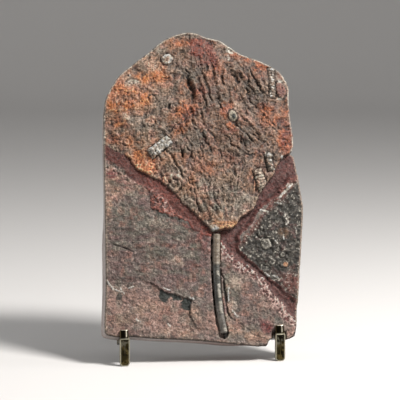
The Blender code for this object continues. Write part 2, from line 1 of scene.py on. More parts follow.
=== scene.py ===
import math

import bpy
import numpy as np
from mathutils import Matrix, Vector, noise


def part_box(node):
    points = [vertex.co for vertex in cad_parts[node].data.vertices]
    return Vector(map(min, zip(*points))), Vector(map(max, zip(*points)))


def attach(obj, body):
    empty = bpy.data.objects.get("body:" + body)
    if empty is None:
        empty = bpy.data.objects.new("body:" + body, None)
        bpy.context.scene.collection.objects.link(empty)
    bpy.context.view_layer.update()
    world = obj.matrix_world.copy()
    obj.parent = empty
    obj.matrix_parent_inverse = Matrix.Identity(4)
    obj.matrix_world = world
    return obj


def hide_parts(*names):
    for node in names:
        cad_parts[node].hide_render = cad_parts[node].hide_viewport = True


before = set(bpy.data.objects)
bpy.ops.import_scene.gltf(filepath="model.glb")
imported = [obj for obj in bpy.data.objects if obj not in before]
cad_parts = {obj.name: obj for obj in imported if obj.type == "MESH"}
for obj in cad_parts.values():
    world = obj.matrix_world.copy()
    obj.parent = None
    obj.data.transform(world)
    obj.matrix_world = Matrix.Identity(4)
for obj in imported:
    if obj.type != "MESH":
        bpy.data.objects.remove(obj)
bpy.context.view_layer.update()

# ---------------------------------------------------------------- sizes, in millimetres
MM = 0.001                      # one millimetre in metres
SLAB_THICKNESS = 24.0
SLAB_LEAN = math.radians(18.0)
EDGE_CHAMFER = 1.3
SIDE_FLARE = (-1.1, 1.3)        # how much further out the left side's back lies, high up and low down
FLARE_SPAN = (135.0, 90.0)      # heights between which the one goes over into the other
FLARE_REACH = (60.0, 98.0)      # distances to the left over which the flare sets in
UNDERCUT = 0.27                 # share of its drop that the low part of the bottom edge rises behind
UNDERCUT_SPAN = (5.0, 45.0)     # places along the bottom edge over which that sets in
SLAB_DROP = 1.1                 # how far the line t = 0 lies below the stand's ledges
LEDGE_HEIGHT = 28.0
FOOT_FRONT = 5.5
LIP_HEIGHT = 6.9
LIP_CLEARANCE = (1.5, 9.0)      # raised rock is cut off up to here from the lips, and whole from here on
ARM_WIDTH = 8.0
ARM_CENTRES = (-85.9, 68.7)
REST_GAP = 0.3

BACK_CHAMFER = 0.9
PLUG_INSET = 0.7                # the plug on the core's top is this much smaller all round
CROWN_CELL = 0.60               # grid of the crown's relief
PANEL_CELL = 0.64               # grid of the panels' relief
CAP_DEPTH = 6.5                 # the relief pieces reach this far under the sawn plane
CAP_OVERLAP = 1.0               # and the core's plug reaches this far up inside them


def millimetres(corners):
    return [[value / MM for value in corner] for corner in corners]


FOOT_LOW, FOOT_HIGH = millimetres(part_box("left_foot"))
SLAB_MIDDLE = ARM_CENTRES[0] - (FOOT_LOW[0] + FOOT_HIGH[0]) / 2
TOE_Y = FOOT_LOW[1] + FOOT_FRONT

# ---------------------------------------------------------------- the slab's outline, (s, t)
REST_LINE = REST_GAP + SLAB_DROP
BOTTOM_EDGE = [(-102.4, 3.8), (-97.0, 2.5), (-91.5, REST_LINE), (-84.5, REST_LINE), (-77.0, REST_LINE),
               (-60.0, -0.6), (-41.0, -2.1), (-21.0, -3.7), (-6.0, -5.2), (13.6, -7.8), (33.4, -10.7),
               (46.4, -12.3)]
BROKEN_CORNER = [(55.2, -12.0), (56.8, -9.6), (57.4, -7.6), (59.4, -5.6), (62.0, -4.4), (62.8, REST_LINE),
                 (75.0, REST_LINE), (75.6, -6.0), (79.5, -5.3), (84.3, -2.8)]
RIGHT_EDGE = [(86.0, 4.0), (87.6, 17.0), (91.5, 46.0), (94.6, 73.0), (98.5, 105.0), (100.4, 127.0),
              (98.6, 146.0), (96.4, 168.0), (94.8, 179.0)]
RIGHT_STEP = [(91.5, 182.0), (94.3, 188.5)]
TOP_EDGE = [(94.4, 201.0), (92.5, 222.0), (92.6, 240.0), (93.2, 249.0), (89.5, 259.0), (82.0, 268.5),
            (67.0, 276.8), (51.0, 283.2), (44.0, 286.0), (33.5, 293.5), (24.0, 299.8), (10.0, 303.4),
            (0.5, 307.6), (-11.0, 308.2), (-24.0, 304.6), (-36.0, 298.4), (-49.0, 287.6), (-64.0, 276.6),
            (-78.0, 265.2), (-88.0, 252.0), (-94.4, 238.6), (-97.0, 222.0)]
LEFT_EDGE = [(-98.0, 190.0), (-99.0, 140.0), (-100.2, 88.0), (-101.6, 48.0), (-104.0, 17.0),
             (-104.2, 6.5)]

# ---------------------------------------------------------------- the lines drawn on the rock's face
CROWN_EDGE_LEFT = [(-99.0, 194.5), (-90.0, 187.0), (-75.0, 181.5), (-70.5, 172.0), (-59.0, 164.5),
                   (-45.0, 157.0), (-35.0, 149.5), (-28.0, 140.5), (-18.5, 130.0), (-9.5, 121.5),
                   (2.0, 109.5), (7.5, 104.5)]
CROWN_EDGE_RIGHT = [(16.5, 105.0), (28.0, 107.0), (38.5, 118.5), (50.0, 126.0), (56.0, 138.0),
                    (67.0, 152.5), (76.0, 164.0), (79.0, 171.0), (84.0, 177.5), (92.0, 182.5)]
BAND_EDGE_LEFT = [(-100.0, 170.0), (-81.0, 159.5), (-62.0, 150.0), (-53.5, 144.0), (-52.5, 128.0),
                  (-34.0, 120.5), (-18.0, 114.0), (-13.0, 107.0), (-4.0, 101.0), (6.5, 97.0)]
BAND_EDGE_RIGHT = [(33.5, 90.0), (36.0, 99.0), (45.5, 108.5), (54.0, 121.5), (66.0, 132.0),
                   (80.0, 144.0), (89.0, 155.0), (98.0, 159.0)]
LOW_BAND_UPPER = [(33.5, 90.0), (33.5, 84.5), (47.0, 72.0), (62.5, 56.5), (77.0, 43.0), (91.0, 30.0)]
LOW_BAND_LOWER = [(15.5, 93.0), (24.5, 80.5), (33.0, 72.5), (45.5, 64.5), (56.0, 53.5), (63.5, 41.5),
                  (72.0, 31.0), (79.0, 19.5), (88.0, 9.0)]
STEM_LINE = [(13.4, 1.5), (11.5, 13.0), (10.0, 25.0), (9.0, 40.0), (8.7, 55.0), (9.0, 70.0),
             (9.8, 85.0), (11.0, 101.0)]
STEM_RADIUS = 3.7
STEM_RISE = 0.5
STEM_SIDES = 28
STEM_RING_STEP = 0.5
STEM_END = 2.2                  # length of its rounded lower end
COLUMNAL = 3.1                  # length of one of its segments
STEM_GROOVE = (1.725, 0.975)    # width of the groove on the stem's left and right
STEM_GROOVE_DEPTH = (5.4, 2.6)
LEDGE_CHIP = [(-64.0, 56.0), (-52.0, 52.0), (-45.5, 47.0), (-32.5, 42.0), (-19.0, 37.5), (-14.0, 35.5),
              (-18.0, 31.0), (-18.5, 20.0), (-14.0, 9.8), (-8.5, 7.0), (-3.5, 8.5)]
CRACK = [(13.8, 77.0), (14.4, 60.0), (15.6, 42.0), (17.0, 31.0), (20.0, 19.5), (27.5, 12.5),
         (43.0, 1.0), (55.0, -6.5)]
SLIT = [(-93.0, 93.5), (-82.0, 89.5), (-72.5, 85.0)]

# ---------------------------------------------------------------- heights of the face, along n
CROWN_RISE = 4.6
CROWN_DOME = 3.4
CROWN_RIM = 1.4
CROWN_SHOULDER = 24.0
BAND_DEPTH = 3.6
LOW_BAND_DEPTH = 2.4
RIGHT_SLOPE = 5.0
LOWER_LAYER_DEPTH = 1.7
CLIFF_WIDTH = 1.5
ARM_RISE = 2.6
ARM_WANDER = 2.6
ARM_FAN = 0.25
STRAND_SIZE = 4.4               # width of the strands on the arms
STRAND_STRETCH = 3.4            # how many times longer than wide they are

# Bundles of arms side by side: middle (s, t), half width, half length, lean to the left in degrees, pitch
ARM_BUNDLES = [
    ((-9.0, 210.0), 19.0, 27.0, 28, 8.4),
    ((-6.0, 181.0), 18.0, 15.0, 3, 7.8),
    ((42.0, 198.0), 24.0, 26.0, 42, 8.6),
    ((57.0, 252.0), 19.0, 29.0, 24, 8.0),
    ((0.0, 134.0), 22.0, 32.0, 20, 8.8),
    ((31.0, 162.0), 21.0, 20.0, -2, 8.4),
    ((-30.0, 167.0), 18.0, 22.0, 31, 8.6),
    ((12.0, 252.0), 23.0, 30.0, 15, 9.0),
]

# Dark slits between arms: (s, t) of both ends, half width, depth
CROWN_SLITS = [
    ((-21, 192), (-20, 177), 0.8, 2.6), ((-14, 192), (-12, 175), 0.8, 2.6), ((-2, 195), (-2, 176), 0.8, 2.8),
    ((-4, 201), (4, 182), 0.7, 2.0), ((2, 202), (7, 183), 0.7, 2.2), ((-11, 218), (-4, 203), 0.8, 2.2),
    ((37, 203), (47, 188), 0.8, 2.4), ((43, 204), (53, 189), 0.7, 2.0), ((23, 199), (29, 192), 0.8, 2.0),
    ((45, 203), (69, 188), 0.7, 1.8), ((32, 212), (45, 204), 0.7, 1.6), ((-23, 165), (-13, 149), 0.9, 2.6),
    ((-11, 148), (-4, 123), 0.7, 1.8), ((9, 143), (14, 124), 0.9, 2.4), ((29, 169), (31, 160), 1.0, 2.6),
    ((37, 168), (38, 161), 1.0, 2.4), ((19, 167), (21, 160), 0.8, 2.0), ((16, 185), (19, 177), 0.8, 1.8),
    ((-44, 181), (-36, 163), 0.7, 1.8), ((48, 274), (54, 253), 0.7, 1.8), ((53, 271), (64, 240), 0.7, 2.0),
    ((59, 273), (67, 244), 0.7, 1.6), ((44, 253), (59, 228), 0.8, 2.0), ((38, 249), (51, 226), 0.7, 1.6),
    ((30, 265), (42, 253), 1.4, 2.6), ((-13, 260), (-4, 237), 1.6, 3.0), ((-22, 272), (-9, 262), 0.9, 1.8),
    ((6, 282), (9, 264), 0.8, 1.6), ((15, 239), (22, 224), 0.7, 1.6), ((60, 224), (76, 209), 0.8, 1.8),
    ((62, 213), (82, 201), 0.7, 1.4), ((-35, 233), (-29, 225), 1.0, 1.8), ((56, 166), (50, 148), 0.8, 2.2),
    ((69, 184), (62, 168), 0.8, 1.8), ((-34, 201), (-13, 219), 0.7, 1.2), ((-34, 196), (-44, 154), 0.7, 1.2),
    ((25, 276), (35, 272), 1.2, 2.0), ((-4, 233), (5, 216), 0.8, 1.8), ((7, 208), (14, 189), 0.7, 1.6),
    ((24, 185), (32, 179), 0.7, 1.4), ((42, 183), (60, 176), 0.7, 1.6), ((3, 165), (5, 149), 0.7, 1.4),
]

# Rings and buttons: (s, t), radius, height, how far the middle is sunk, how pale the rim is
CROWN_RINGS = [
    ((-31.0, 279.5), 5.8, 1.7, 0.3, 0.9), ((-15.0, 130.0), 6.4, 0.9, 0.6, 0.1),
    ((-28.8, 150.5), 5.8, 1.5, 0.6, 0.3), ((-48.0, 238.0), 3.4, 0.4, 0.4, 0.1),
    ((-28.5, 228.0), 3.6, 0.9, 0.9, 0.2), ((-50.0, 214.0), 3.4, 0.4, 0.3, 0.2),
    ((-80.0, 229.0), 3.0, 0.6, 0.2, 0.3), ((-75.0, 196.0), 3.0, 0.7, 0.4, 0.3),
]
PANEL_RINGS = [
    ((60.5, 90.0), 5.3, 0.9, 0.4, 0.8), ((77.5, 70.0), 4.0, 0.5, 0.5, 0.2),
    ((65.5, 72.0), 3.2, 0.6, 0.3, 0.5), ((76.5, 79.0), 2.7, 1.0, 0.0, 0.85),
    ((72.5, 84.5), 1.8, 0.8, 0.0, 0.8), ((55.0, 100.0), 3.4, 0.3, 0.3, 0.1),
]
# Drops and ovals: (s, t), half width, half length, turn in degrees, height
CROWN_OVALS = [
    ((32.4, 219.6), 4.6, 6.2, 14, 2.2), ((84.0, 247.0), 5.8, 9.5, 10, 2.8),
    ((77.5, 178.8), 3.6, 6.2, -60, 1.9),
]
# Short stretches of stem lying in the crown: (s, t) of both ends, radius, length of one segment, raggedness
STEM_PIECES = {
    "pale_stem_piece": ((-52.5, 182.5), (-32.5, 197.0), 5.0, 5.2, 1.5),
    "ribbed_stem_piece": ((54.5, 164.5), (60.5, 144.0), 5.0, 2.9, 0.4),
    "grey_stem_piece": ((66.8, 180.0), (68.6, 164.5), 3.8, 4.2, 0.8),
    "upper_stem_piece": ((75.5, 270.0), (74.8, 239.0), 3.5, 2.9, 0.4),
}
# Pale crystal crests: (s, t), half width, half height, turn in degrees
CROWN_CRESTS = [
    ((84.6, 256.0), 3.4, 2.6, 0), ((82.4, 237.6), 4.0, 1.2, 12), ((82.0, 177.4), 2.2, 2.0, 0),
    ((66.6, 181.0), 3.4, 2.0, 0), ((33.7, 288.0), 5.0, 2.6, -40), ((32.4, 281.0), 1.2, 3.6, 10),
    ((74.6, 273.0), 3.0, 1.4, -20), ((9.0, 105.5), 4.0, 2.2, 20), ((-33.0, 282.0), 2.4, 2.0, 20),
    ((-28.0, 278.0), 2.0, 2.4, 0),
]
# Hollows: (s, t), half width, half length, turn in degrees, depth
CROWN_PITS = [((-8.0, 247.5), 4.0, 11.5, 14, 2.6), ((38.5, 262.0), 7.5, 5.0, -25, 2.2)]
PANEL_PITS = [((60.5, 2.0), 7.0, 6.5, 25, 1.8)]
# Single marks, each an oval: (s, t), half width, half length, turn in degrees
CALYX = ((20.0, 110.0), 13.0, 5.0, 0)
CALYX_STUB = ((7.0, 107.0), 6.0, 4.5, 0)
# A patch painted lighter where the crown's lower left slopes away from the key light: painted light
PAINTED_LIGHT_PATCH = ((-56.0, 170.0), 24.0, 10.0, -33)
DROP = ((32.4, 219.6), 4.3, 5.9, 14)
DROP_EYE = ((33.2, 218.8), 2.3, 3.0, 0)
BOSS = ((84.0, 247.0), 5.0, 8.6, 10)
SOCKET = ((-53.0, 183.0), 3.4, 3.4, 0)
RED_CORNER = ((84.0, 50.0), 14.0, 12.0, -40)
PEACH_CORNER = ((85.0, 147.0), 9.0, 4.5, 40)
RUST_SPOT = ((79.0, 68.8), 2.4, 2.4, 0)
OCHRE_SPOT = ((79.0, 101.0), 7.0, 6.0, 0)
LEFT_BLOTCH = ((-89.0, 41.6), 3.2, 4.2, -20)

# Soft patches of colour: (s, t), half width, half height, turn in degrees, strength
CROWN_PAINT = {
    # bright orange, partly rust and partly painted light
    "lit_rust": [
        ((-62, 173), 16, 8, -28, 1.0), ((-78, 246), 9, 12, -20, 0.6), ((-84, 262), 8, 5, -45, 0.5),
        ((-38, 158), 10, 5, -38, 0.5),
    ],
    "grey": [
        ((-5, 204), 14, 16, 0, 0.9), ((-9, 260), 12, 14, 0, 0.8), ((58, 248), 15, 21, 20, 0.9),
        ((39, 195), 15, 9, 30, 0.9), ((29, 232), 12, 8, 0, 0.6), ((-22, 186), 12, 10, 0, 0.6),
        ((15, 129), 14, 12, 0, 0.7), ((-33, 217), 10, 10, 0, 0.5), ((-5, 135), 16, 20, 20, 0.8),
        ((-40, 290), 14, 8, 0, 0.5), ((12, 182), 14, 9, 0, 0.6), ((30, 140), 12, 9, 0, 0.6),
        ((-42, 160), 9, 9, 0, 0.7), ((48, 212), 16, 12, 30, 0.6),
    ],
    "rust": [
        ((-82, 240), 14, 18, 0, 1.3), ((-60, 260), 17, 9, -30, 1.0), ((-74, 197), 18, 8, -15, 0.7),
        ((-60, 178), 17, 10, -25, 1.4), ((-66, 240), 17, 11, 0, 1.2), ((-84, 215), 12, 10, 0, 0.8),
        ((-14, 297), 18, 6, 0, 0.7), ((27.5, 229), 8, 6, 0, 1.2), ((86, 200), 8, 12, 0, 1.2),
        ((68, 272), 6, 5, 0, 1.2), ((-20, 206), 14, 5, 40, 0.8), ((46, 281), 6, 5, 0, 1.1),
        ((-10, 229), 14, 8, 20, 0.8), ((-25, 219), 11, 8, 20, 0.8), ((44, 282), 14, 6, -15, 0.8),
        ((89, 225), 7, 11, 0, 0.9), ((86, 196), 9, 15, 0, 1.2), ((71, 217), 13, 8, 0, 0.8),
        ((31, 211), 5, 4, 0, 1.2), ((18, 262), 12, 9, 0, 0.7), ((63, 271), 4, 12, 8, 1.1),
        ((-39, 262), 12, 12, 0, 0.8), ((2, 166), 12, 8, 0, 0.5), ((51, 152), 10, 12, 0, 0.5),
        ((24, 224), 7, 6, 0, 0.8), ((-14, 252), 7, 7, 0, 0.6), ((66, 228), 10, 5, 0, 0.8),
    ],
    "red": [
        ((5, 290), 13, 11, 0, 2.2), ((12, 280), 9, 10, 0, 1.5), ((-13, 222), 8, 6, 0, 0.5),
        ((32, 206), 6, 3, 0, 0.7), ((88, 197), 8, 13, 0, 1.4), ((-52, 170), 9, 5, -30, 0.6),
        ((66, 262), 4, 10, 8, 0.6), ((24, 226), 6, 7, 0, 0.8), ((-1, 246), 7, 7, 0, 0.6),
        ((83, 213), 9, 6, 0, 0.5), ((-90, 199), 7, 6, 0, 0.6), ((-31, 160), 5, 5, 0, 0.4),
        ((30, 176), 14, 6, 0, 0.4), ((43, 127), 7, 6, 0, 0.5),
    ],
    "pale": [
        ((-67, 258), 10, 6, -30, 0.9), ((38, 224), 12, 9, 20, 0.6), ((50, 216), 10, 9, 30, 0.5),
        ((-48, 272), 10, 7, -30, 0.6), ((31, 293), 8, 6, -30, 1.0), ((65, 253), 9, 6, 0, 0.3),
        ((38, 130), 14, 13, 0, 0.4), ((4, 150), 12, 12, 0, 0.2), ((-12, 142), 8, 10, 0, 0.4),
        ((84, 256), 7, 6, 0, 0.9), ((2, 214), 9, 7, 0, 0.3), ((-28, 160), 13, 10, -30, 0.9),
        ((-66, 218), 16, 8, 0, 0.3),
    ],
}
PANEL_PAINT = {
    "green": [
        ((-77, 122), 20, 13, 0, 0.9), ((-54, 86), 13, 12, 30, 0.8), ((-13, 80), 4.5, 24, 0, 0.9),
        ((-64, 62), 10, 7, -30, 0.7), ((-78, 107), 13, 3, -5, 0.8), ((-27, 103), 26, 8, -20, 0.6),
        ((24, 48), 12, 17, 15, 1.0), ((-7, 66), 4, 26, 0, 0.9), ((-60, 110), 22, 8, -10, 0.8),
    ],
    "mauve": [
        ((-81, 98), 20, 4, -5, 0.9), ((-94, 76), 13, 13, 0, 0.8), ((-32, 64), 24, 17, 0, 1.2),
        ((-3, 60), 6, 26, 0, 0.8), ((38, 40), 12, 14, 20, 0.5),
    ],
    "pale": [
        ((-32, 75), 9, 5, -20, 0.7), ((-52, 94), 8, 3, 0, 0.6), ((-46, 111), 14, 5, -10, 0.5),
        ((22, 28), 5, 8, 0, 1.0), ((28, 52), 10, 9, 0, 0.6), ((21, 18), 5, 7, 0, 0.9),
        ((-92, 50), 8, 9, 30, 0.4),
    ],
    "pink": [
        ((-84, 34), 26, 17, 0, 1.0), ((-50, 19), 38, 16, 0, 1.0), ((-91, 12), 18, 12, 0, 1.0),
        ((55, 32), 20, 13, 20, 0.9), ((37, 59), 9, 9, 0, 0.5), ((0, 14), 12, 14, 0, 0.8),
        ((80, 4), 8, 9, 0, 0.9), ((-90, 150), 12, 14, 0, 0.6),
    ],
    "peach": [
        ((46, -1), 14, 6, -8, 1.1), ((-18, 20), 10, 12, 0, 0.8), ((-59, 30), 16, 7, 0, 0.7),
        ((24, 6), 16, 9, 0, 0.8), ((50, -2), 11, 7, 0, 1.0), ((-88, 18), 12, 7, 0, 0.7),
        ((-97, 138), 5, 20, 0, 0.9), ((-86, 146), 9, 6, 0, 0.8), ((-30, 4), 20, 5, 0, 0.6),
        ((-50, 150), 9, 5, -25, 0.5), ((-88, 158), 15, 10, -15, 1.2), ((-70, 149), 14, 7, -20, 0.9),
    ],
    "crumb_red": [
        ((-15, 110), 5, 4, 0, 0.9), ((-5, 100), 4, 7, 0, 0.9), ((-1, 92), 3, 7, 0, 0.7),
        ((-80, 152), 12, 5, -20, 0.6), ((-93, 165), 9, 5, 0, 0.9), ((-74, 158), 9, 3, -25, 0.9),
        ((92, 48), 5, 8, 0, 0.6), ((56, 8), 6, 8, 40, 0.8),
    ],
}
# Dark green patches on the stripped layer under the ledge chip: (s, t), half width, half height, turn
UNDER_CHIP_PATCHES = [
    ((-43.8, 41.6), 6.2, 7.0, 0), ((-33.0, 40.0), 6.5, 2.6, -20), ((-22.6, 32.6), 6.8, 6.6, 20),
    ((-18.6, 27.0), 2.2, 6.5, -8),
]
# Bright scratches and chips of calcite: (s, t) of both ends, half width
BRIGHT_MARKS = [
    ((-101.0, 57.5), (-94.0, 48.5), 0.8), ((-94.5, 49.0), (-87.0, 45.5), 0.7),
    ((-88.0, 50.0), (-84.0, 44.0), 0.6),
    ((-79.0, 49.5), (-75.0, 50.5), 0.7), ((56.5, 124.5), (64.5, 122.6), 1.1),
    ((82.5, 115.5), (84.6, 112.0), 0.7),
    ((84.6, 112.0), (82.0, 109.0), 0.7), ((66.0, 58.0), (70.0, 55.0), 0.8), ((58.0, 60.5), (61.5, 57.5), 0.8),
    ((77.0, 137.0), (90.5, 150.0), 1.4), ((72.0, 132.0), (78.0, 130.0), 0.9),
    ((20.5, 47.0), (19.0, 34.0), 0.6),
    ((-73.5, 19.0), (-69.5, 15.5), 0.7), ((-42.0, 13.0), (-40.0, 11.0), 0.7),
    ((78.0, 98.0), (79.0, 94.0), 0.6),
    ((91.0, 106.0), (92.0, 101.0), 0.6), ((70.0, 93.0), (72.0, 90.5), 0.6), ((23.0, 24.0), (27.0, 18.0), 0.7),
    ((-19.0, 37.8), (-15.0, 36.2), 0.7), ((-45.0, 48.6), (-38.0, 45.6), 0.5),
]


# ---------------------------------------------------------------- curves, distances and noise
def smooth_run(points, step):
    """Points about step apart on the Catmull-Rom curve through the given ones."""
    pts = np.array(points, dtype=float)
    ends = np.vstack([2 * pts[0] - pts[1], pts, 2 * pts[-1] - pts[-2]])
    run = [pts[0]]
    for a, b, c, d in zip(ends, ends[1:], ends[2:], ends[3:]):
        count = max(1, round(float(np.linalg.norm(c - b)) / step))
        for i in range(1, count + 1):
            u = i / count
            run.append(0.5 * (2 * b + (c - a) * u + (2 * a - 5 * b + 4 * c - d) * u * u
                              + (3 * b - a - 3 * c + d) * u ** 3))
    return np.array(run)


def unit(vectors):
    return vectors / np.linalg.norm(vectors, axis=1)[:, None]


def walk(line, step):
    """Points step apart along a line: how far along it they lie, where, and in which direction it runs."""
    lengths = np.concatenate([[0.0], np.cumsum(np.linalg.norm(np.diff(line, axis=0), axis=1))])
    places = np.arange(0.0, lengths[-1], step)
    points = np.column_stack([np.interp(places, lengths, line[:, axis]) for axis in (0, 1)])
    return places, points, unit(np.gradient(points, axis=0))


def foot_on_line(line, pts):
    """Nearest point of a polyline for each point, and on which side it lies: +1 left of its run."""
    a, b = line[:-1], line[1:]
    run = b - a
    length2 = (run ** 2).sum(1)
    feet, sides = [], []
    for start in range(0, len(pts), 4096):
        chunk = pts[start:start + 4096]
        rel_s = chunk[:, None, 0] - a[None, :, 0]
        rel_t = chunk[:, None, 1] - a[None, :, 1]
        along = np.clip((rel_s * run[:, 0] + rel_t * run[:, 1]) / length2, 0.0, 1.0)
        off_s, off_t = rel_s - along * run[:, 0], rel_t - along * run[:, 1]
        nearest = (off_s ** 2 + off_t ** 2).argmin(1)
        pick = np.arange(len(chunk))
        off = np.column_stack([off_s[pick, nearest], off_t[pick, nearest]])
        feet.append(chunk - off)
        sides.append(np.where(run[nearest, 0] * off[:, 1] - run[nearest, 1] * off[:, 0] >= 0, 1.0, -1.0))
    return np.vstack(feet), np.concatenate(sides)


def distance_to(line, pts):
    """Distance of each point from a polyline, and its side."""
    feet, sides = foot_on_line(line, pts)
    return np.linalg.norm(pts - feet, axis=1), sides


def inside(loop, pts):
    """Whether each point lies in a closed loop."""
    hit = np.zeros(len(pts), dtype=bool)
    for a, b in zip(loop, np.roll(loop, -1, axis=0)):
        spans = (a[1] > pts[:, 1]) != (b[1] > pts[:, 1])
        if not spans.any():
            continue
        reach = a[0] + (pts[:, 1] - a[1]) * (b[0] - a[0]) / (b[1] - a[1] or 1.0)
        hit ^= spans & (pts[:, 0] < reach)
    return hit


def ramp(x, low, high):
    """Smooth step from 0 at low to 1 at high."""
    u = np.clip((x - low) / (high - low), 0.0, 1.0)
    return u * u * (3 - 2 * u)


def ripple(pts, size, seed):
    """Soft noise between about -1 and 1, with lumps of the given size."""
    return np.array([noise.noise(Vector((s / size, t / size, seed))) for s, t in pts])


def corner_random(ix, iy, seed):
    """A repeatable random number from 0 to 1 for each corner of a lattice."""
    mixed = (ix * 374761393 + iy * 668265263 + seed * 2246822519) & 0xFFFFFFFF
    mixed = ((mixed ^ (mixed >> 13)) * 1274126177) & 0xFFFFFFFF
    return ((mixed ^ (mixed >> 16)) & 0xFFFFFF) / float(0xFFFFFF)


def grain(pts, size, seed, octaves=3, fade=0.55):
    """Finer noise between about -1 and 1, the sum of a few octaves."""
    total, weight, amount = np.zeros(len(pts)), 0.0, 1.0
    for octave in range(octaves):
        scaled = pts / (size * 0.5 ** octave)
        cell = np.floor(scaled).astype(np.int64)
        part = scaled - cell
        u = part * part * part * (part * (part * 6 - 15) + 10)
        ix, iy, key = cell[:, 0], cell[:, 1], seed * 31 + octave
        low = corner_random(ix, iy, key) * (1 - u[:, 0]) + corner_random(ix + 1, iy, key) * u[:, 0]
        high = corner_random(ix, iy + 1, key) * (1 - u[:, 0]) + corner_random(ix + 1, iy + 1, key) * u[:, 0]
        total += amount * (2 * (low * (1 - u[:, 1]) + high * u[:, 1]) - 1)
        weight += amount
        amount *= fade
    return total / weight * 1.6


def uneven(pts, size, seed, middle, swing, low=0.0, high=1.0):
    """Noise about a middle value, held between two limits."""
    return np.clip(middle + swing * grain(pts, size, seed), low, high)


def ridged(pts, size, seed):
    """Crests and creases, from about -1 in the creases to 1 on the crests."""
    return 1.0 - 2.6 * np.abs(grain(pts, size, seed, 2, 0.45))


def strayed(pts, size, amount, seed):
    """Points moved about, so that forms drawn at them lose their regular outline."""
    return pts + amount * np.column_stack([grain(pts, size, seed), grain(pts, size, seed + 1)])


OUTLINE = np.vstack([smooth_run(BOTTOM_EDGE, 2.0), BROKEN_CORNER, smooth_run(RIGHT_EDGE, 2.0),
                     RIGHT_STEP, smooth_run(TOP_EDGE, 2.0), smooth_run(LEFT_EDGE, 2.0)])
CROWN_EDGE = smooth_run(CROWN_EDGE_LEFT + CROWN_EDGE_RIGHT, 2.0)
BAND_LEFT = smooth_run(BAND_EDGE_LEFT, 2.0)
BAND_RIGHT = smooth_run(BAND_EDGE_RIGHT, 2.0)
LOW_UPPER = smooth_run(LOW_BAND_UPPER, 2.0)
LOW_LOWER = smooth_run(LOW_BAND_LOWER, 2.0)
STEM = smooth_run(STEM_LINE, 3.0)
CHIP = smooth_run(LEDGE_CHIP, 2.0)
CRACK_LINE = smooth_run(CRACK, 2.0)
SLIT_LINE = smooth_run(SLIT, 2.0)
FAR = 400.0                     # a distance well beyond the slab
STAGE_RADIUS = 3.2              # metres of flat floor before it turns up into the backdrop
STAGE_BEND = 1.2                # metres: the radius of that turn
STAGE_TOP = 3.2                 # metres: the backdrop's height
STAGE_STEPS, STAGE_SIDES = 12, 96


# ---------------------------------------------------------------- placing the slab in the world
def lean_point(n, t):
    """World (y, z), in millimetres, of a point of the slab's side view."""
    y = TOE_Y + t * math.sin(SLAB_LEAN) - n * math.cos(SLAB_LEAN)
    z = LEDGE_HEIGHT + t * math.cos(SLAB_LEAN) + n * math.sin(SLAB_LEAN)
    return y, z


def slab_to_world(s, t, n):
    """World coordinates in metres of points in the slab's frame."""
    s, t, n = np.broadcast_arrays(s, np.asarray(t) - SLAB_DROP, n)
    return np.stack([s - SLAB_MIDDLE, *lean_point(n, t)], axis=-1) * MM


def behind(edge, depth):
    """Points of the slab's outline, moved as its sides flare and are undercut depth behind the face."""
    s, t = edge[:, 0], edge[:, 1]
    high_up, low_down = SIDE_FLARE
    flare = (high_up + (low_down - high_up) * ramp(t, *FLARE_SPAN)) * ramp(-s, *FLARE_REACH)
    raised = np.where(t < 0, -t * UNDERCUT * ramp(s, *UNDERCUT_SPAN), 0.0)
    share = depth / SLAB_THICKNESS
    return s - flare * share, t + raised * share


# ---------------------------------------------------------------- the forms of the relief
def bundle_frame(pts, middle, lean):
    """Coordinates of points across and along a bundle of arms."""
    angle = math.radians(lean)
    rel = pts - np.array(middle, dtype=float)
    across = rel[:, 0] * math.cos(angle) + rel[:, 1] * math.sin(angle)
    along = -rel[:, 0] * math.sin(angle) + rel[:, 1] * math.cos(angle)
    return across, along


def arm_forms(pts):
    """The arms' broad ridges, the strands that lie along them, and where there are arms at all."""
    wander = ARM_WANDER * ripple(pts, 21.0, 3.1)
    pts = strayed(strayed(pts, 15.0, 2.2, 211), 5.0, 0.6, 213)
    ridges, held = np.zeros(len(pts)), np.zeros(len(pts))
    strands, weight = np.zeros(len(pts)), np.full(len(pts), 1e-6)
    for index, (middle, half_width, half_length, lean, pitch) in enumerate(ARM_BUNDLES):
        across, along = bundle_frame(pts, middle, lean)
        place = across / (1.0 + ARM_FAN * along / half_length) + wander
        reach = np.sqrt((across / half_width) ** 2 + (along / half_length) ** 2)
        covers = ramp(reach, 1.0, 0.7)
        ridges = np.maximum(ridges, np.abs(np.cos(math.pi * place / pitch)) * covers)
        held = np.maximum(held, covers)
        pull = np.exp(-2.0 * reach ** 2)
        drawn = np.column_stack([place, along / STRAND_STRETCH])
        strands += pull * ridged(drawn, STRAND_SIZE, 201 + index)
        weight += pull
    return ridges, strands / weight, held


def oval_reach(pts, centre, half_width, half_length, turn):
    """0 in the middle of an oval, 1 on its edge."""
    across, along = bundle_frame(pts, centre, turn)
    return np.sqrt((across / half_width) ** 2 + (along / half_length) ** 2)


def dome(reach):
    return np.sqrt(np.clip(1.0 - reach ** 2, 0.0, 1.0))


def along_segment(pts, start, end):
    """Distance of points from a straight segment, and how far along it they lie, in millimetres."""
    start, end = np.array(start, dtype=float), np.array(end, dtype=float)
    run = end - start
    length = float(np.linalg.norm(run))
    rel = pts - start
    along = rel @ run / length
    held = np.clip(along, 0.0, length)
    away = np.linalg.norm(rel - np.outer(held / length, run), axis=1)
    return away, along, length


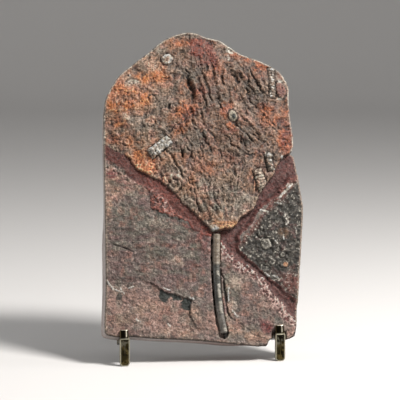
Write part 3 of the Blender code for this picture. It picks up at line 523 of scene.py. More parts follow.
def cut_slits(pts, height, slits):
    """Narrow furrows with floors painted dark as shade, broken and crooked."""
    crooked = strayed(strayed(pts, 13.0, 2.6, 21), 3.6, 0.8, 23)
    broken = uneven(pts, 5.0, 25, 0.75, 0.7, high=1.2)
    dark = np.zeros(len(pts))
    for start, end, half, depth in slits:
        away, along, length = along_segment(crooked, start, end)
        taper = ramp(along, -1.5, 4.0) * ramp(length - along, -1.5, 4.0) * broken
        height -= 0.8 * depth * taper * ramp(away, 2.0 * half, 0.3 * half)
        # the furrow's floor painted dark as shade
        dark = np.maximum(dark, 0.95 * taper * ramp(away, 1.6 * half, 0.4 * half))
    return height, dark


def press_rings(pts, height, dark, rings):
    """Round ossicles with a pale raised rim and a moat round them, the moat and deep middles painted dark as
    shade, none quite regular.
    """
    crooked = strayed(pts, 3.5, 0.9, 27)
    broken = 0.7 + 0.6 * grain(pts, 2.2, 29)
    pale = np.zeros(len(pts))
    for centre, radius, rise, sunk, paleness in rings:
        away = np.linalg.norm(crooked - np.array(centre), axis=1)
        lit = ramp(away, radius + 0.3, radius - 1.2)
        height += rise * lit - sunk * ramp(away, 0.72 * radius, 0.35 * radius)
        height -= 0.8 * ramp(np.abs(away - radius - 0.8), 1.2, 0.0)
        rim = paleness * lit * ramp(away, 0.25 * radius, 0.75 * radius)
        # the moat and the middles of deeply sunk rings are painted dark as shade
        moat = (0.35 + 0.2 * rise) * ramp(np.abs(away - radius - 0.6), 0.9, 0.1)
        pale = np.maximum(pale, rim * np.clip(broken, 0, 1.2))
        dark = np.maximum(dark, moat * np.clip(broken, 0.2, 1))
        dark = np.maximum(dark, 0.5 * ramp(away, 0.55 * radius, 0.1 * radius) * (sunk > 0.7))
    return height, pale, dark


def lay_stem_piece(pts, height, start, end, radius, segment, raggedness):
    """A short run of columnals lying on the rock: the height with it, where it is, its joints, its moat."""
    crooked = strayed(pts, 5.0, raggedness, 31)
    away, along, length = along_segment(crooked, start, end)
    on = (away < radius) & (along > -0.6) & (along < length + 0.6)
    round_top = radius * dome(away / radius)
    step = along / segment
    joint = ramp(np.abs(step - np.floor(step) - 0.5), 0.22, 0.5)
    level = 0.75 * round_top - 0.9 * joint * np.clip(round_top / radius, 0.0, 1.0)
    level += 0.35 * grain(pts, 2.0, 33)
    near = ramp(away, radius + 1.4, radius) * ramp(along, -1.6, 0.0) * ramp(length - along, -1.6, 0.0)
    return np.where(on, height + level, height - 0.9 * near), on.astype(float), joint, near * ~on


def patch_strength(pts, patches, seed):
    """How strongly soft-edged patches cover each point, broken up by noise."""
    crooked = strayed(pts, 9.0, 3.0, seed)
    total = np.zeros(len(pts))
    for *oval, strength in patches:
        total = np.maximum(total, strength * ramp(oval_reach(crooked, *oval), 1.4, 0.3))
    broken = 1.0 + 0.6 * grain(pts, 9.0, seed + 2, 2) + 0.15 * grain(pts, 2.6, seed + 3)
    return np.clip(total * broken, 0.0, 1.0)


# ---------------------------------------------------------------- colours
def linear(red, green, blue):
    """Linear colour of an sRGB one given from 0 to 255."""
    return np.array([(c / 255 / 12.92) if c / 255 <= 0.04045 else ((c / 255 + 0.055) / 1.055) ** 2.4
                     for c in (red, green, blue)])


TAN = linear(164, 133, 108)
GREY_TAN = linear(138, 120, 104)
GREEN_TAN = linear(122, 116, 102)
RUST = linear(210, 124, 66)
BRIGHT_RUST = linear(226, 158, 108)
# Bright orange: partly the rock's rust, partly painted light on the crown's left, which faces away from the
# key light
LIT_RUST = linear(230, 148, 108)
SALMON = linear(198, 138, 118)
RED_EARTH = linear(140, 58, 26)
PALE = linear(206, 184, 164)
BONE = linear(226, 218, 202)
# Dark brown: painted shade in slits, cracks, moats, pits, holes and under edges, and the real dark joints of
# the stem pieces
SHADE_AND_JOINTS = linear(58, 42, 36)
MAROON = linear(112, 70, 64)
BAND_MAROON = linear(126, 62, 50)
MAROON_LOW = linear(110, 61, 55)
CRUMBLE = linear(152, 88, 74)
CRIMSON = linear(156, 74, 72)
ROSE = linear(238, 190, 178)
PANEL_GREY = linear(136, 126, 116)
MAUVE = linear(144, 116, 110)
PINK = linear(180, 144, 130)
PEACH = linear(198, 160, 136)
OCHRE = linear(150, 116, 84)
DARK_PANEL = linear(55, 50, 41)
GREEN_GREY = linear(66, 72, 66)
# Near black, painted as the shade in the stem's deep groove
GROOVE_SHADE = linear(30, 24, 20)
STEM_DARK = linear(84, 84, 78)
STEM_GREY = linear(136, 130, 122)
STEM_BEIGE = linear(160, 144, 126)
LIGHT_GREY = linear(112, 106, 100)
SAWN = linear(238, 224, 218)
SAWN_PINK = linear(200, 168, 156)
SAWN_CLOUD = linear(104, 86, 80)

# The painted tones, in the order in which they are laid: tone, seed
CROWN_TONES = {"grey": (GREEN_TAN, 288), "rust": (RUST, 296), "red": (RED_EARTH, 304), "pale": (PALE, 312),
               "lit_rust": (LIT_RUST, 320)}
PANEL_TONES = {"green": (GREEN_TAN, 301), "mauve": (MAUVE, 305), "pink": (PINK, 309), "peach": (PEACH, 313),
               "pale": (PALE, 317), "crumb_red": (CRIMSON, 321)}
# Flecks all over: tone, strength, size, seed, octaves, noise at which they begin and are full
CROWN_FLECKS = [
    (RUST, 0.35, 12.0, 81, 3, 0.25, 1.0), (SALMON, 0.4, 7.0, 82, 2, 0.3, 1.0),
    (GREEN_TAN, 0.5, 8.0, 83, 2, 0.25, 1.0), (MAROON, 0.45, 7.0, 84, 2, 0.3, 1.0),
]
PANEL_FLECKS = [
    (SALMON, 0.4, 7.0, 92, 2, 0.3, 1.0), (GREEN_TAN, 0.5, 9.0, 93, 2, 0.25, 1.0),
    (MAROON, 0.35, 6.0, 94, 2, 0.35, 1.0),
]
# The loose stem pieces: tone, how dark their joints are, how many crystals they hold
PIECE_TONES = {
    "pale_stem_piece": (BONE * 1.2, 0.4, 1.0), "ribbed_stem_piece": (PALE, 0.85, 0.3),
    "grey_stem_piece": (GREEN_TAN, 0.85, 1.0), "upper_stem_piece": (GREY_TAN * 1.1, 0.85, 1.0),
}


def shade(colour, other, amount):
    """Mix colours, point by point."""
    amount = np.broadcast_to(np.clip(amount, 0.0, 1.0), len(colour))[:, None]
    return colour * (1 - amount) + other * amount


def layered(colour, layers):
    """Lay tones over a colour one after another: each a tone and how much of it."""
    for tone, amount in layers:
        colour = shade(colour, tone, amount)
    return colour


def lay_paint(pts, colour, paint, tones):
    """Lay painted patches over a colour."""
    return layered(colour, [(tone, patch_strength(pts, paint[name], seed))
                            for name, (tone, seed) in tones.items()])


def flecked(pts, colour, flecks):
    """Scatter flecks over a colour."""
    return layered(colour, [(tone, strength * ramp(grain(pts, size, seed, octaves), low, high))
                            for tone, strength, size, seed, octaves, low, high in flecks])


def outlined(reach, at, outer, inner):
    """A line along an oval: 1 on it, 0 beyond the outer distance from it."""
    return ramp(np.abs(reach - at), outer, inner)


def speckled(pts, colour, lights, darks, seed):
    """Colour with fine greyish specks of painted highlight and deep specks of painted shade scattered over
    it, finer than the painted patches.
    """
    lit = 1.25 * colour + LIGHT_GREY
    colour = shade(colour, lit, lights * ramp(grain(pts, 1.9, seed, 2), 0.2, 0.95))
    return shade(colour, colour * 0.3, darks * ramp(-grain(pts, 2.1, seed + 1, 2), 0.3, 0.95))


# ---------------------------------------------------------------- the two regions of the face
JAG_STEP = 0.8


def jagged(line, coarse, fine, seed):
    """A line redrawn in short steps that stray to both sides."""
    _, points, run = walk(line, JAG_STEP)
    stray = coarse * grain(points, 7.0, seed) + fine * grain(points, 2.2, seed + 1)
    return points + stray[:, None] * np.column_stack([-run[:, 1], run[:, 0]])


RIM = np.vstack([OUTLINE, OUTLINE[:1]])
BRINK = jagged(CROWN_EDGE, 1.1, 0.5, 41)
CROWN_REGION = np.vstack([BRINK, [(FAR, 182.5), (FAR, FAR), (-FAR, FAR), (-FAR, 194.5)]])
PANEL_BRINK = jagged(BAND_LEFT, 1.0, 0.6, 43)
GREY_BRINK = jagged(BAND_RIGHT, 0.9, 0.6, 44)
LOW_BRINK_UPPER = jagged(LOW_UPPER, 0.7, 0.5, 45)
LOW_BRINK_LOWER = jagged(LOW_LOWER, 1.3, 0.9, 46)
SUNK_REGION = np.vstack([LOW_BRINK_LOWER, [(130.0, -10.0), (130.0, 20.0)], LOW_BRINK_UPPER[::-1],
                         GREY_BRINK, [(FAR, 160.0), (FAR, 200.0), (8.0, 200.0), (8.0, 98.0)]])
CHIP_BRINK = jagged(CHIP, 1.0, 0.6, 47)
CHIP_REGION = np.vstack([CHIP_BRINK, [(-3.5, -FAR), (-FAR, -FAR), (-FAR, 56.0)]])


def edge_wear(pts):
    """Drop of the worn corner along the slab's outline, and the distance to that outline."""
    rim_dist, _ = distance_to(RIM, pts)
    width = EDGE_CHAMFER * (1.0 + 0.5 * grain(pts, 5.0, 51))
    chips = 1.5 * ramp(grain(pts, 6.0, 52), 0.45, 0.85) * ramp(rim_dist, 3.2, 0.4)
    return EDGE_CHAMFER * ramp(rim_dist, width, 0.0) + chips, rim_dist


def bear_on_lips(pts, height):
    """Level the face behind the lips of the stand, so that it bears on them."""
    for middle in ARM_CENTRES:
        beyond_s = np.abs(pts[:, 0] - middle) - ARM_WIDTH / 2
        beyond = np.maximum(beyond_s, pts[:, 1] - LIP_HEIGHT - SLAB_DROP)
        height = np.minimum(height, np.maximum(height, 0.0) * ramp(beyond, *LIP_CLEARANCE))
    return height


def crown_relief(pts, depth_in, rim_dist):
    """The crown's rise with its arms and lumps, and the finer forms that lie on it."""
    ridges, strands, held = arm_forms(pts)
    full = CROWN_RISE + CROWN_DOME * ramp(depth_in, 0.0, 45.0) - CROWN_RIM
    lumps = 1.8 * ripple(pts, 26.0, 7.7) + 1.6 * ripple(pts, 9.0, 2.4)
    rough = ARM_RISE * (ridges - 0.4) * uneven(pts, 11.0, 60, 0.42, 0.6) + lumps
    rise = CROWN_RIM + full * ramp(rim_dist, 0.0, CROWN_SHOULDER) + rough * ramp(rim_dist, -3.0, 9.0)
    lower_left = ramp(pts[:, 0], 14.0, -4.0) * ramp(pts[:, 1], 200.0, 184.0)
    rise *= 1.0 - 0.68 * lower_left * ramp(depth_in, 18.0, 0.0)

    crooked = strayed(pts, 8.0, 2.0, 65)
    fine = 0.52 * strands * held + 0.30 * (1.3 - held) * ridged(crooked, 8.0, 61)
    fine += 0.26 * ridged(crooked, 3.6, 62) + 0.25 * grain(pts, 5.0, 63) + 0.30 * ridged(pts, 2.2, 64)
    fine += 0.22 * grain(pts, 1.5, 66, 1)
    return rise + fine * ramp(rim_dist, -1.5, 4.0), fine, crooked


def crown_surface(pts):
    """Heights and colours of the raised crown."""
    depth_in, _ = distance_to(BRINK, pts)
    drop, rim_dist = edge_wear(pts)
    height, fine, crooked = crown_relief(pts, depth_in, rim_dist)
    height, dark = cut_slits(pts, height, CROWN_SLITS)
    height, pale, dark = press_rings(pts, height, dark, CROWN_RINGS)
    for *oval, up in CROWN_OVALS:
        reach = oval_reach(crooked * 0.25 + pts * 0.75, *oval)
        height += up * dome(reach)
        # a dark line painted round the foot of each raised oval, as shade
        dark = np.maximum(dark, 0.7 * outlined(reach, 1.12, 0.16, 0.02))
    for *oval, down in CROWN_PITS:
        reach = oval_reach(crooked, *oval)
        height -= down * dome(reach)
        # the pits painted darker as shade
        dark = np.maximum(dark, 0.5 * ramp(reach, 1.0, 0.3))
    pieces = {}
    for name, piece in STEM_PIECES.items():
        height, on, joint, moat = lay_stem_piece(pts, height, *piece)
        pieces[name] = (on, joint)
        # the moat round each stem piece painted dark as shade
        dark = np.maximum(dark * (1 - on), 0.8 * moat)
    height = -1.0 + (height + 1.0) * ramp(depth_in, 0.0, CLIFF_WIDTH) - drop
    # dark holds the painted shade of the slits, moats, pits and ovals
    colour = layered(crown_ground(pts, fine), [
        (BONE, pale),
        (MAROON, 0.55 * ramp(depth_in, 1.8, 0.3)),
        (SHADE_AND_JOINTS, 0.85 * dark),
    ])
    return height, crown_fossils(pts, paint_pieces(pts, colour, pieces), rim_dist)


def crown_ground(pts, fine):
    """Rusty, tan and grey rock, with painted shade in its finest hollows and painted highlights on its finest
    crests.
    """
    colour = np.tile(TAN, (len(pts), 1))
    colour = shade(colour, GREY_TAN, 0.5 + 0.8 * grain(pts, 18.0, 71, 2))
    colour = lay_paint(pts, colour, CROWN_PAINT, CROWN_TONES)
    colour = flecked(pts, colour, CROWN_FLECKS)
    # Lighter at the crown's lower left, darker and redder towards its upper right: partly the rock's own
    # tone, partly painted light and shade that even out the key light from the right
    tone_and_shade = ramp(pts[:, 0], -62.0, 8.0) * ramp(pts[:, 1], 135.0, 190.0)
    colour *= 1.12 - np.outer(tone_and_shade, [0.35, 0.46, 0.50])
    calyx = oval_reach(strayed(pts, 5.0, 2.5, 85), *CALYX)
    stub = oval_reach(strayed(pts, 4.0, 2.0, 87), *CALYX_STUB)
    colour = layered(colour, [
        (BRIGHT_RUST, ramp(calyx, 1.25, 0.6) * (0.85 + 0.5 * grain(pts, 3.0, 86))),
        (PALE, 0.9 * ramp(stub, 1.2, 0.6)),
    ])
    # fine specks of painted highlight and painted shade
    colour = speckled(pts, colour, 0.55, 0.35, 88)
    # painted shade in the finest hollows and painted highlights on the finest crests
    colour = shade(colour, colour * 0.38, 0.55 * ramp(-fine, 0.15, 0.8))
    colour = shade(colour, 1.25 * colour + 0.6 * LIGHT_GREY, 0.6 * ramp(fine, 0.15, 0.8))
    # painted light on the crown's lower left, which slopes away from the key light
    lit_patch = oval_reach(strayed(pts, 6.0, 2.0, 97), *PAINTED_LIGHT_PATCH)
    return colour * (1.0 + 0.3 * ramp(lit_patch, 1.2, 0.4))[:, None]


def paint_pieces(pts, colour, pieces):
    """The loose stem pieces: patchy tones, dark joints, holes painted dark as shade, pale crystals."""
    patchy = uneven(pts, 2.4, 90, 0.75, 0.6, low=0.2)
    for name, (on, joint) in pieces.items():
        tone, groove, crystals = PIECE_TONES[name]
        colour = layered(colour, [
            (tone, patchy * on),
            (SHADE_AND_JOINTS, groove * on * joint * np.clip(patchy + 0.1, 0.0, 1.0)),
            # holes painted dark as shade
            (SHADE_AND_JOINTS, 0.7 * on * ramp(-grain(pts, 2.6, 96, 2), 0.35, 0.8)),
            (BONE, crystals * on * ramp(grain(pts, 2.2, 91, 2), 0.3, 0.8) * (1 - joint)),
        ])
    return colour


def crown_fossils(pts, colour, rim_dist):
    """The drop, the boss, the pale crests, the socket and the worn edge round the crown, with painted shade
    round the drop, the boss and the socket and a painted highlight along the edge.
    """
    drop = oval_reach(strayed(pts, 3.0, 0.4, 92), *DROP)
    boss = oval_reach(strayed(pts, 3.0, 0.6, 98), *BOSS)
    socket = oval_reach(pts, *SOCKET)
    crooked, patchy = strayed(pts, 2.4, 0.8, 93), uneven(pts, 2.0, 94, 0.8, 0.6)
    layers = [
        (GREEN_TAN * 2.0, 0.95 * ramp(drop, 1.0, 0.85)),
        (GREEN_GREY * 0.6, ramp(oval_reach(pts, *DROP_EYE), 1.1, 0.7)),
        # painted shade round the drop's foot
        (SHADE_AND_JOINTS * 0.6, 0.95 * outlined(drop, 1.12, 0.2, 0.04)),
        (MAROON * 1.35, 0.7 * ramp(boss, 1.0, 0.8)),
        # painted shade round the boss
        (SHADE_AND_JOINTS, 0.85 * outlined(boss, 1.1, 0.16, 0.03)),
    ]
    layers += [(BONE * 1.1, ramp(oval_reach(crooked, *crest), 1.1, 0.6) * patchy) for crest in CROWN_CRESTS]
    layers += [
        # painted shade in the socket's rim
        (SHADE_AND_JOINTS, 0.8 * outlined(socket, 0.9, 0.3, 0.05)),
        (GREEN_GREY, 0.8 * ramp(socket, 0.8, 0.4)),
        # a pale line painted as a highlight along the slab's worn edge
        (BONE, ramp(rim_dist, 2.2, 0.6) * uneven(pts, 4.0, 95, 0.75, 0.6)),
    ]
    return layered(colour, layers)


def press_left_band(pts, height, masks):
    """The maroon band along the crown's lower left edge, smooth near the crown and crumbly beyond."""
    band_dist, side = distance_to(PANEL_BRINK, pts)
    here = (side > 0) & (pts[:, 0] < 8.0)
    smooth = ramp(masks["brink"] + 1.5 * grain(pts, 6.0, 99), 13.0, 9.0)
    channel = 0.5 * ramp(pts[:, 0], -84.0, -55.0) * smooth * ramp(band_dist, 0.0, 4.0)
    rise = 0.9 * ramp(band_dist, 0.0, 1.2) * ramp(pts[:, 0], -62.0, -52.0)
    rise += 1.4 * (masks["crumbly"] - 0.5) * (1 - smooth)
    masks.update(left=here, smooth=smooth, band_left=band_dist, side_left=side)
    return np.where(here, height + rise - BAND_DEPTH * channel, height)


def sink_right_bands(pts, height, masks):
    """The two sunk bands on the right, the crumbly rim below them and the rough grey panel between."""
    sunk = inside(SUNK_REGION, pts)
    depth = LOW_BAND_DEPTH + (BAND_DEPTH - LOW_BAND_DEPTH) * ramp(pts[:, 1], 84.0, 100.0)
    below, side_below = distance_to(LOW_BRINK_LOWER, pts)
    above, side_above = distance_to(LOW_BRINK_UPPER, pts)
    beside, side_right = distance_to(GREY_BRINK, pts)
    sunk_dist = np.minimum(below, above)
    sloping = np.minimum(ramp(sunk_dist, 0.0, 3.4), ramp(beside, 0.0, RIGHT_SLOPE))
    height = np.where(sunk, height - depth * sloping, height)
    rim = np.where(~sunk & (side_below < 0) & (pts[:, 0] > 14.0),
                   ramp(below + 2.4 * grain(pts, 6.0, 100), 11.0, 5.0), 0.0)
    height += 1.3 * rim * (masks["crumbly"] - 0.3)
    grey = (side_above > 0) & (side_right < 0) & (pts[:, 0] > 33.0) & ~sunk
    masks.update(sunk=sunk, grey=grey, rim=rim, sunk_dist=sunk_dist, beside=beside, below=below)
    return height + np.where(grey, 0.3 * ridged(pts, 6.0, 84) + 0.3 * grain(pts, 3.0, 85), 0.0)


def split_rock(pts, height, masks):
    """Strip the top layer under the ledge chip, and open the crack and the slit."""
    s, t = pts[:, 0], pts[:, 1]
    chip_dist, _ = distance_to(CHIP_BRINK, pts)
    layer = inside(CHIP_REGION, pts) * ramp(chip_dist, 0.0, 0.7)
    layer = layer * ramp(s, -72.0, -52.0) * ramp(t, -4.0, 22.0)
    crack_dist, _ = distance_to(CRACK_LINE, strayed(strayed(pts, 7.0, 1.3, 102), 2.2, 0.6, 104))
    slit_dist, _ = distance_to(SLIT_LINE, pts)
    split = ramp(t, 12.0, 24.0) * ramp(t, 74.0, 50.0)
    height -= LOWER_LAYER_DEPTH * layer
    height -= (0.8 + 1.4 * split) * ramp(crack_dist, 0.8 + 0.9 * split, 0.0)
    height -= 1.1 * ramp(slit_dist, 0.9, 0.1)
    # the crack and the slit are painted dark as shade
    cracked = (0.6 + 0.4 * split) * ramp(crack_dist, 0.7 + 0.8 * split, 0.2)
    masks.update(layer=layer, chip=chip_dist, dark=np.maximum(cracked, 0.9 * ramp(slit_dist, 1.0, 0.3)))
    return height


def panel_surface(pts):
    """Heights and colours of the flat panels, the sunk bands and the groove of the stem."""
    drop, rim_dist = edge_wear(pts)
    masks = {
        "brink": distance_to(BRINK, pts)[0],
        "crumbly": np.clip(0.5 + 0.6 * ridged(strayed(pts, 4.0, 1.2, 98), 3.4, 83), 0.0, 1.0),
    }
    height = 0.7 * ripple(pts, 34.0, 5.3) + 0.4 * ripple(pts, 13.0, 9.1)
    height += 0.25 * ridged(pts, 7.0, 81) + 0.3 * grain(pts, 2.6, 82) + 0.22 * ridged(pts, 2.0, 87)
    for step in (press_left_band, sink_right_bands, split_rock):
        height = step(pts, height, masks)
    height, masks["pale"], masks["dark"] = press_rings(pts, height, masks["dark"], PANEL_RINGS)
    for *oval, down in PANEL_PITS:
        height -= down * dome(oval_reach(pts, *oval))
    crooked = strayed(pts, 2.5, 0.5, 103)
    bright = np.zeros(len(pts))
    for start, end, half in BRIGHT_MARKS:
        away, _, _ = along_segment(crooked, start, end)
        bright = np.maximum(bright, ramp(away, half + 0.3, 0.4 * half))
    height, masks["groove"] = carve_groove(pts, bear_on_lips(pts, height + 0.5 * bright))
    return height - drop, panel_colours(pts, rim_dist, {**masks, "bright": bright})


def carve_groove(pts, height):
    """Sink the bed in which the stem stands, deeper on its left, and say where it is."""
    away, side = distance_to(STEM, pts)
    gap = np.where(side > 0, *STEM_GROOVE) + 0.5 * grain(pts, 6.0, 86)
    free = ramp(pts[:, 1], STEM_LINE[-1][1] + 3.0, STEM_LINE[-1][1] - 1.0)
    bed = ramp(away - STEM_RADIUS, gap, gap - 0.9) * free
    return height - np.where(side > 0, *STEM_GROOVE_DEPTH) * bed, bed


def panel_ground(pts, masks):
    """Mauve, pink and grey rock in faint level streaks."""
    above = ramp(pts[:, 1], 40.0, 60.0) * (pts[:, 0] < 0)
    colour = np.tile(PANEL_GREY, (len(pts), 1))
    colour = shade(colour, MAUVE, 0.5 + 0.9 * grain(pts, 14.0, 91))
    colour = lay_paint(pts, colour, PANEL_PAINT, PANEL_TONES)
    colour = shade(colour, PINK * 1.12, 0.75 * masks["layer"] * (0.8 + 0.5 * grain(pts, 5.0, 325)))
    colour *= (1.0 - 0.17 * above * ramp(pts[:, 1], 130.0, 112.0))[:, None]
    colour = shade(colour, MAROON, 0.6 * ramp(masks["streaks"], 0.2, 0.9) * above)
    colour = shade(colour, GREEN_TAN * 1.15, 0.6 * ramp(-masks["streaks"], 0.2, 0.9) * above)
    return flecked(pts, colour, PANEL_FLECKS)


def band_colours(pts, colour, masks):
    """The maroon bands: smooth or crumbly on the left, darker on the right, with painted shade along the sunk
    band's edges there.
    """
    s = pts[:, 0]
    toward_left = ramp(s, -52.0, -70.0)
    crumble = shade(CRUMBLE * (0.45 + 0.75 * masks["crumbly"])[:, None], colour, toward_left)
    tone = (1.0 + 0.2 * masks["streaks"]) * (1.0 - 0.25 * toward_left)
    flecks = ramp(grain(pts, 2.2, 332, 2), 0.35, 0.8) * (1 - masks["smooth"])
    left = layered(crumble, [(BAND_MAROON * tone[:, None], 1.2 * masks["smooth"]), (ROSE, 0.75 * flecks)])
    right = MAROON_LOW * (1.0 + 0.25 * grain(pts, 4.0, 327))[:, None]
    colour = np.where(masks["left"][:, None], left, colour)
    colour = np.where(masks["sunk"][:, None], right, colour)
    # painted shade along the edges of the sunk band
    return shade(colour, SHADE_AND_JOINTS, 0.35 * ramp(masks["sunk_dist"], 2.0, 0.4) * masks["sunk"] * (s > 40.0))


def grey_panel_colours(pts, colour, masks):
    """The dark panel on the right, with stained corners, spots and pale specks."""
    grey = masks["grey"]
    soft_left = ramp(masks["beside"], 9.0, 2.0) * ramp(pts[:, 1], 84.0, 100.0)
    specks = ramp(grain(pts, 1.8, 95), 0.6, 0.95) + ramp(grain(pts, 3.4, 96), 0.75, 1.0)
    peach = oval_reach(strayed(pts, 4.0, 1.5, 333), *PEACH_CORNER)
    colour = np.where(grey[:, None], DARK_PANEL * (0.75 + 0.4 * masks["crumbly"])[:, None], colour)
    return layered(colour, [
        (CRUMBLE * 0.7, 0.8 * ramp(oval_reach(pts, *RED_CORNER), 1.2, 0.4) * grey),
        (PEACH, 0.85 * ramp(peach, 1.2, 0.5) * grey),
        (BRIGHT_RUST * 0.8, ramp(oval_reach(pts, *RUST_SPOT), 1.3, 0.5) * grey),
        (CRUMBLE * 0.8, 0.9 * soft_left * grey),
        (OCHRE, 0.6 * ramp(oval_reach(pts, *OCHRE_SPOT), 1.2, 0.3) * grey),
        (MAROON, 0.5 * ramp(grain(pts, 6.0, 328), 0.2, 0.9) * grey),
        (BONE * 0.9, 0.8 * np.clip(specks, 0, 1) * grey),
    ])


def panel_colours(pts, rim_dist, masks):
    """Mauve, pink and grey rock, with maroon bands and a dark grey panel on the right."""
    s, t = pts[:, 0], pts[:, 1]
    masks["streaks"] = grain(np.column_stack([s / 4.5, t + 0.08 * s]), 3.4, 326)
    colour = panel_ground(pts, masks)
    colour = grey_panel_colours(pts, band_colours(pts, colour, masks), masks)
    crumb, rim = masks["crumbly"], masks["rim"]
    # painted shadow, greenish grey, just under the left band's lower edge
    under = np.where(masks["side_left"] < 0, ramp(masks["band_left"], 3.5, 0.5), 0.0)
    colour = layered(colour, [
        (ROSE * 0.65, 0.6 * rim),
        (ROSE, ramp(crumb, 0.3, 0.6) * rim * ramp(masks["below"], 8.5, 5.0)),
        (CRIMSON * 0.7, 0.7 * ramp(crumb, 0.4, 0.1) * rim),
        (GREEN_GREY * 1.2, 0.9 * under * ramp(s, -56.0, -46.0) * ramp(s, -8.0, -18.0)),
    ])
    plain = np.where(masks["sunk"] | (masks["left"] & (masks["smooth"] > 0.5)), 0.5, 1.0)
    lain = np.column_stack([s / 1.7, t + 0.12 * s])
    # fine specks of painted highlight and painted shade
    colour = speckled(lain, colour, 0.75 * plain, 0.75 * plain, 329)
    colour = shade(colour, colour * 0.6, 0.6 * plain * ramp(-grain(lain, 4.5, 331, 2), 0.3, 0.9))
    return panel_marks(pts, colour, rim_dist, masks)


def panel_marks(pts, colour, rim_dist, masks):
    """Rings, cracks, dark green patches, scratches, the stem's groove and the slab's worn edge, with painted
    shade in the hollows, along the chip, under the crown, in the groove and along the bottom edge, and a
    painted highlight along the worn edge.
    """
    s, t = pts[:, 0], pts[:, 1]
    ragged = strayed(pts, 4.0, 1.6, 330)
    stripped = ramp(masks["layer"], 0.1, 0.5)
    under_crown = ramp(masks["brink"], 2.0, 0.8) * (masks["left"] | masks["sunk"])
    foot_edge = ramp(t, 9.0, 3.0) * ramp(rim_dist + 0.9 * grain(pts, 3.0, 335), 1.9, 0.7)
    layers = [
        (BONE, masks["pale"]),
        # painted shade in cracks, moats and the slit
        (SHADE_AND_JOINTS, 0.9 * masks["dark"]),
        # painted shade along the ledge chip's edge
        (SHADE_AND_JOINTS, 0.5 * ramp(masks["chip"], 1.0, 0.2) * (s < -4.0) * (t < 55.0)),
    ]
    layers += [(GREEN_GREY * 0.7, ramp(oval_reach(ragged, *patch), 1.0, 0.85) * stripped)
               for patch in UNDER_CHIP_PATCHES]
    layers += [
        (GREEN_GREY * 0.8, 0.85 * ramp(oval_reach(ragged, *LEFT_BLOTCH), 1.1, 0.7)),
        (BONE * 1.15, 0.9 * masks["bright"]),
        # the stem's groove painted near black as shade
        (GROOVE_SHADE, 0.95 * masks["groove"]),
        # painted shade just under the crown's edge
        (SHADE_AND_JOINTS, 0.25 * under_crown),
        # a pale line painted as a highlight along the slab's worn edge
        (PALE, 0.8 * ramp(rim_dist, 2.2, 0.6)),
        # a dark ragged line painted as shade along the bottom edge
        (SHADE_AND_JOINTS, 0.8 * foot_edge),
    ]
    return layered(colour, layers)


# ---------------------------------------------------------------- meshes
def new_mesh(name, vertices, faces, colours=None, smooth=True):
    """A mesh object from world points, painted point by point."""
    mesh = bpy.data.meshes.new(name)
    mesh.from_pydata([tuple(v) for v in vertices], [], faces)
    mesh.validate()
    if smooth:
        mesh.shade_smooth()
    if colours is not None:
        layer = mesh.attributes.new("tint", "FLOAT_COLOR", "POINT")
        rgba = np.column_stack([colours, np.ones(len(colours))]).astype(np.float32)
        layer.data.foreach_set("color", rgba.ravel())
    obj = bpy.data.objects.new(name, mesh)
    bpy.context.scene.collection.objects.link(obj)
    return obj


def ring_faces(rows, size, first=0, flipped=False, capped=True):
    """Faces between rings of points that follow one another, with a cap on either end."""
    ring = np.arange(size)
    after = np.roll(ring, -1)
    order = [0, 3, 2, 1] if flipped else [0, 1, 2, 3]
    faces = []
    for start in range(first, first + (rows - 1) * size, size):
        quads = start + np.column_stack([ring, after, after + size, ring + size])
        faces += quads[:, order].tolist()
    if capped:
        ends = [list(range(start, start + size)) for start in (first, first + (rows - 1) * size)]
        ends[int(flipped)].reverse()
        faces += ends
    return faces


def ring_mesh(name, rings, colours, flipped=False, smooth=False):
    """A closed body drawn by rings of points."""
    faces = ring_faces(len(rings), len(rings[0]), flipped=flipped)
    return new_mesh(name, np.vstack(rings), faces, np.vstack(colours), smooth)


def soften(values, shape, reach):
    """Mean of a grid's values over a square of the given half size, in cells."""
    size = 2 * reach + 1
    padded = np.pad(values.reshape(shape), ((reach + 1, reach), (reach + 1, reach)), mode="edge")
    total = padded.cumsum(0).cumsum(1)
    spread = total[size:, size:] - total[:-size, size:] - total[size:, :-size] + total[:-size, :-size]
    return (spread / size ** 2).ravel()


def settle_cells(keep):
    """Drop cells that hang on by a corner or a single side."""
    for _ in range(4):
        ring = np.pad(keep, 1)
        beside = (ring[:-2, 1:-1].astype(int) + ring[2:, 1:-1] + ring[1:-1, :-2] + ring[1:-1, 2:])
        keep = keep & (beside >= 2)
        lower_left = keep[:-1, :-1] & keep[1:, 1:] & ~keep[:-1, 1:] & ~keep[1:, :-1]
        lower_right = keep[:-1, 1:] & keep[1:, :-1] & ~keep[:-1, :-1] & ~keep[1:, 1:]
        keep[:-1, :-1] &= ~lower_left
        keep[:-1, 1:] &= ~lower_right
    return keep


def ordered_borders(edges):
    """Closed loops of point numbers from directed border edges."""
    following = dict(edges)
    loops = []
    while following:
        start, point = next(iter(following.items()))
        loop = [start]
        del following[start]
        while point != start:
            loop.append(point)
            point = following.pop(point)
        loops.append(loop)
    return loops


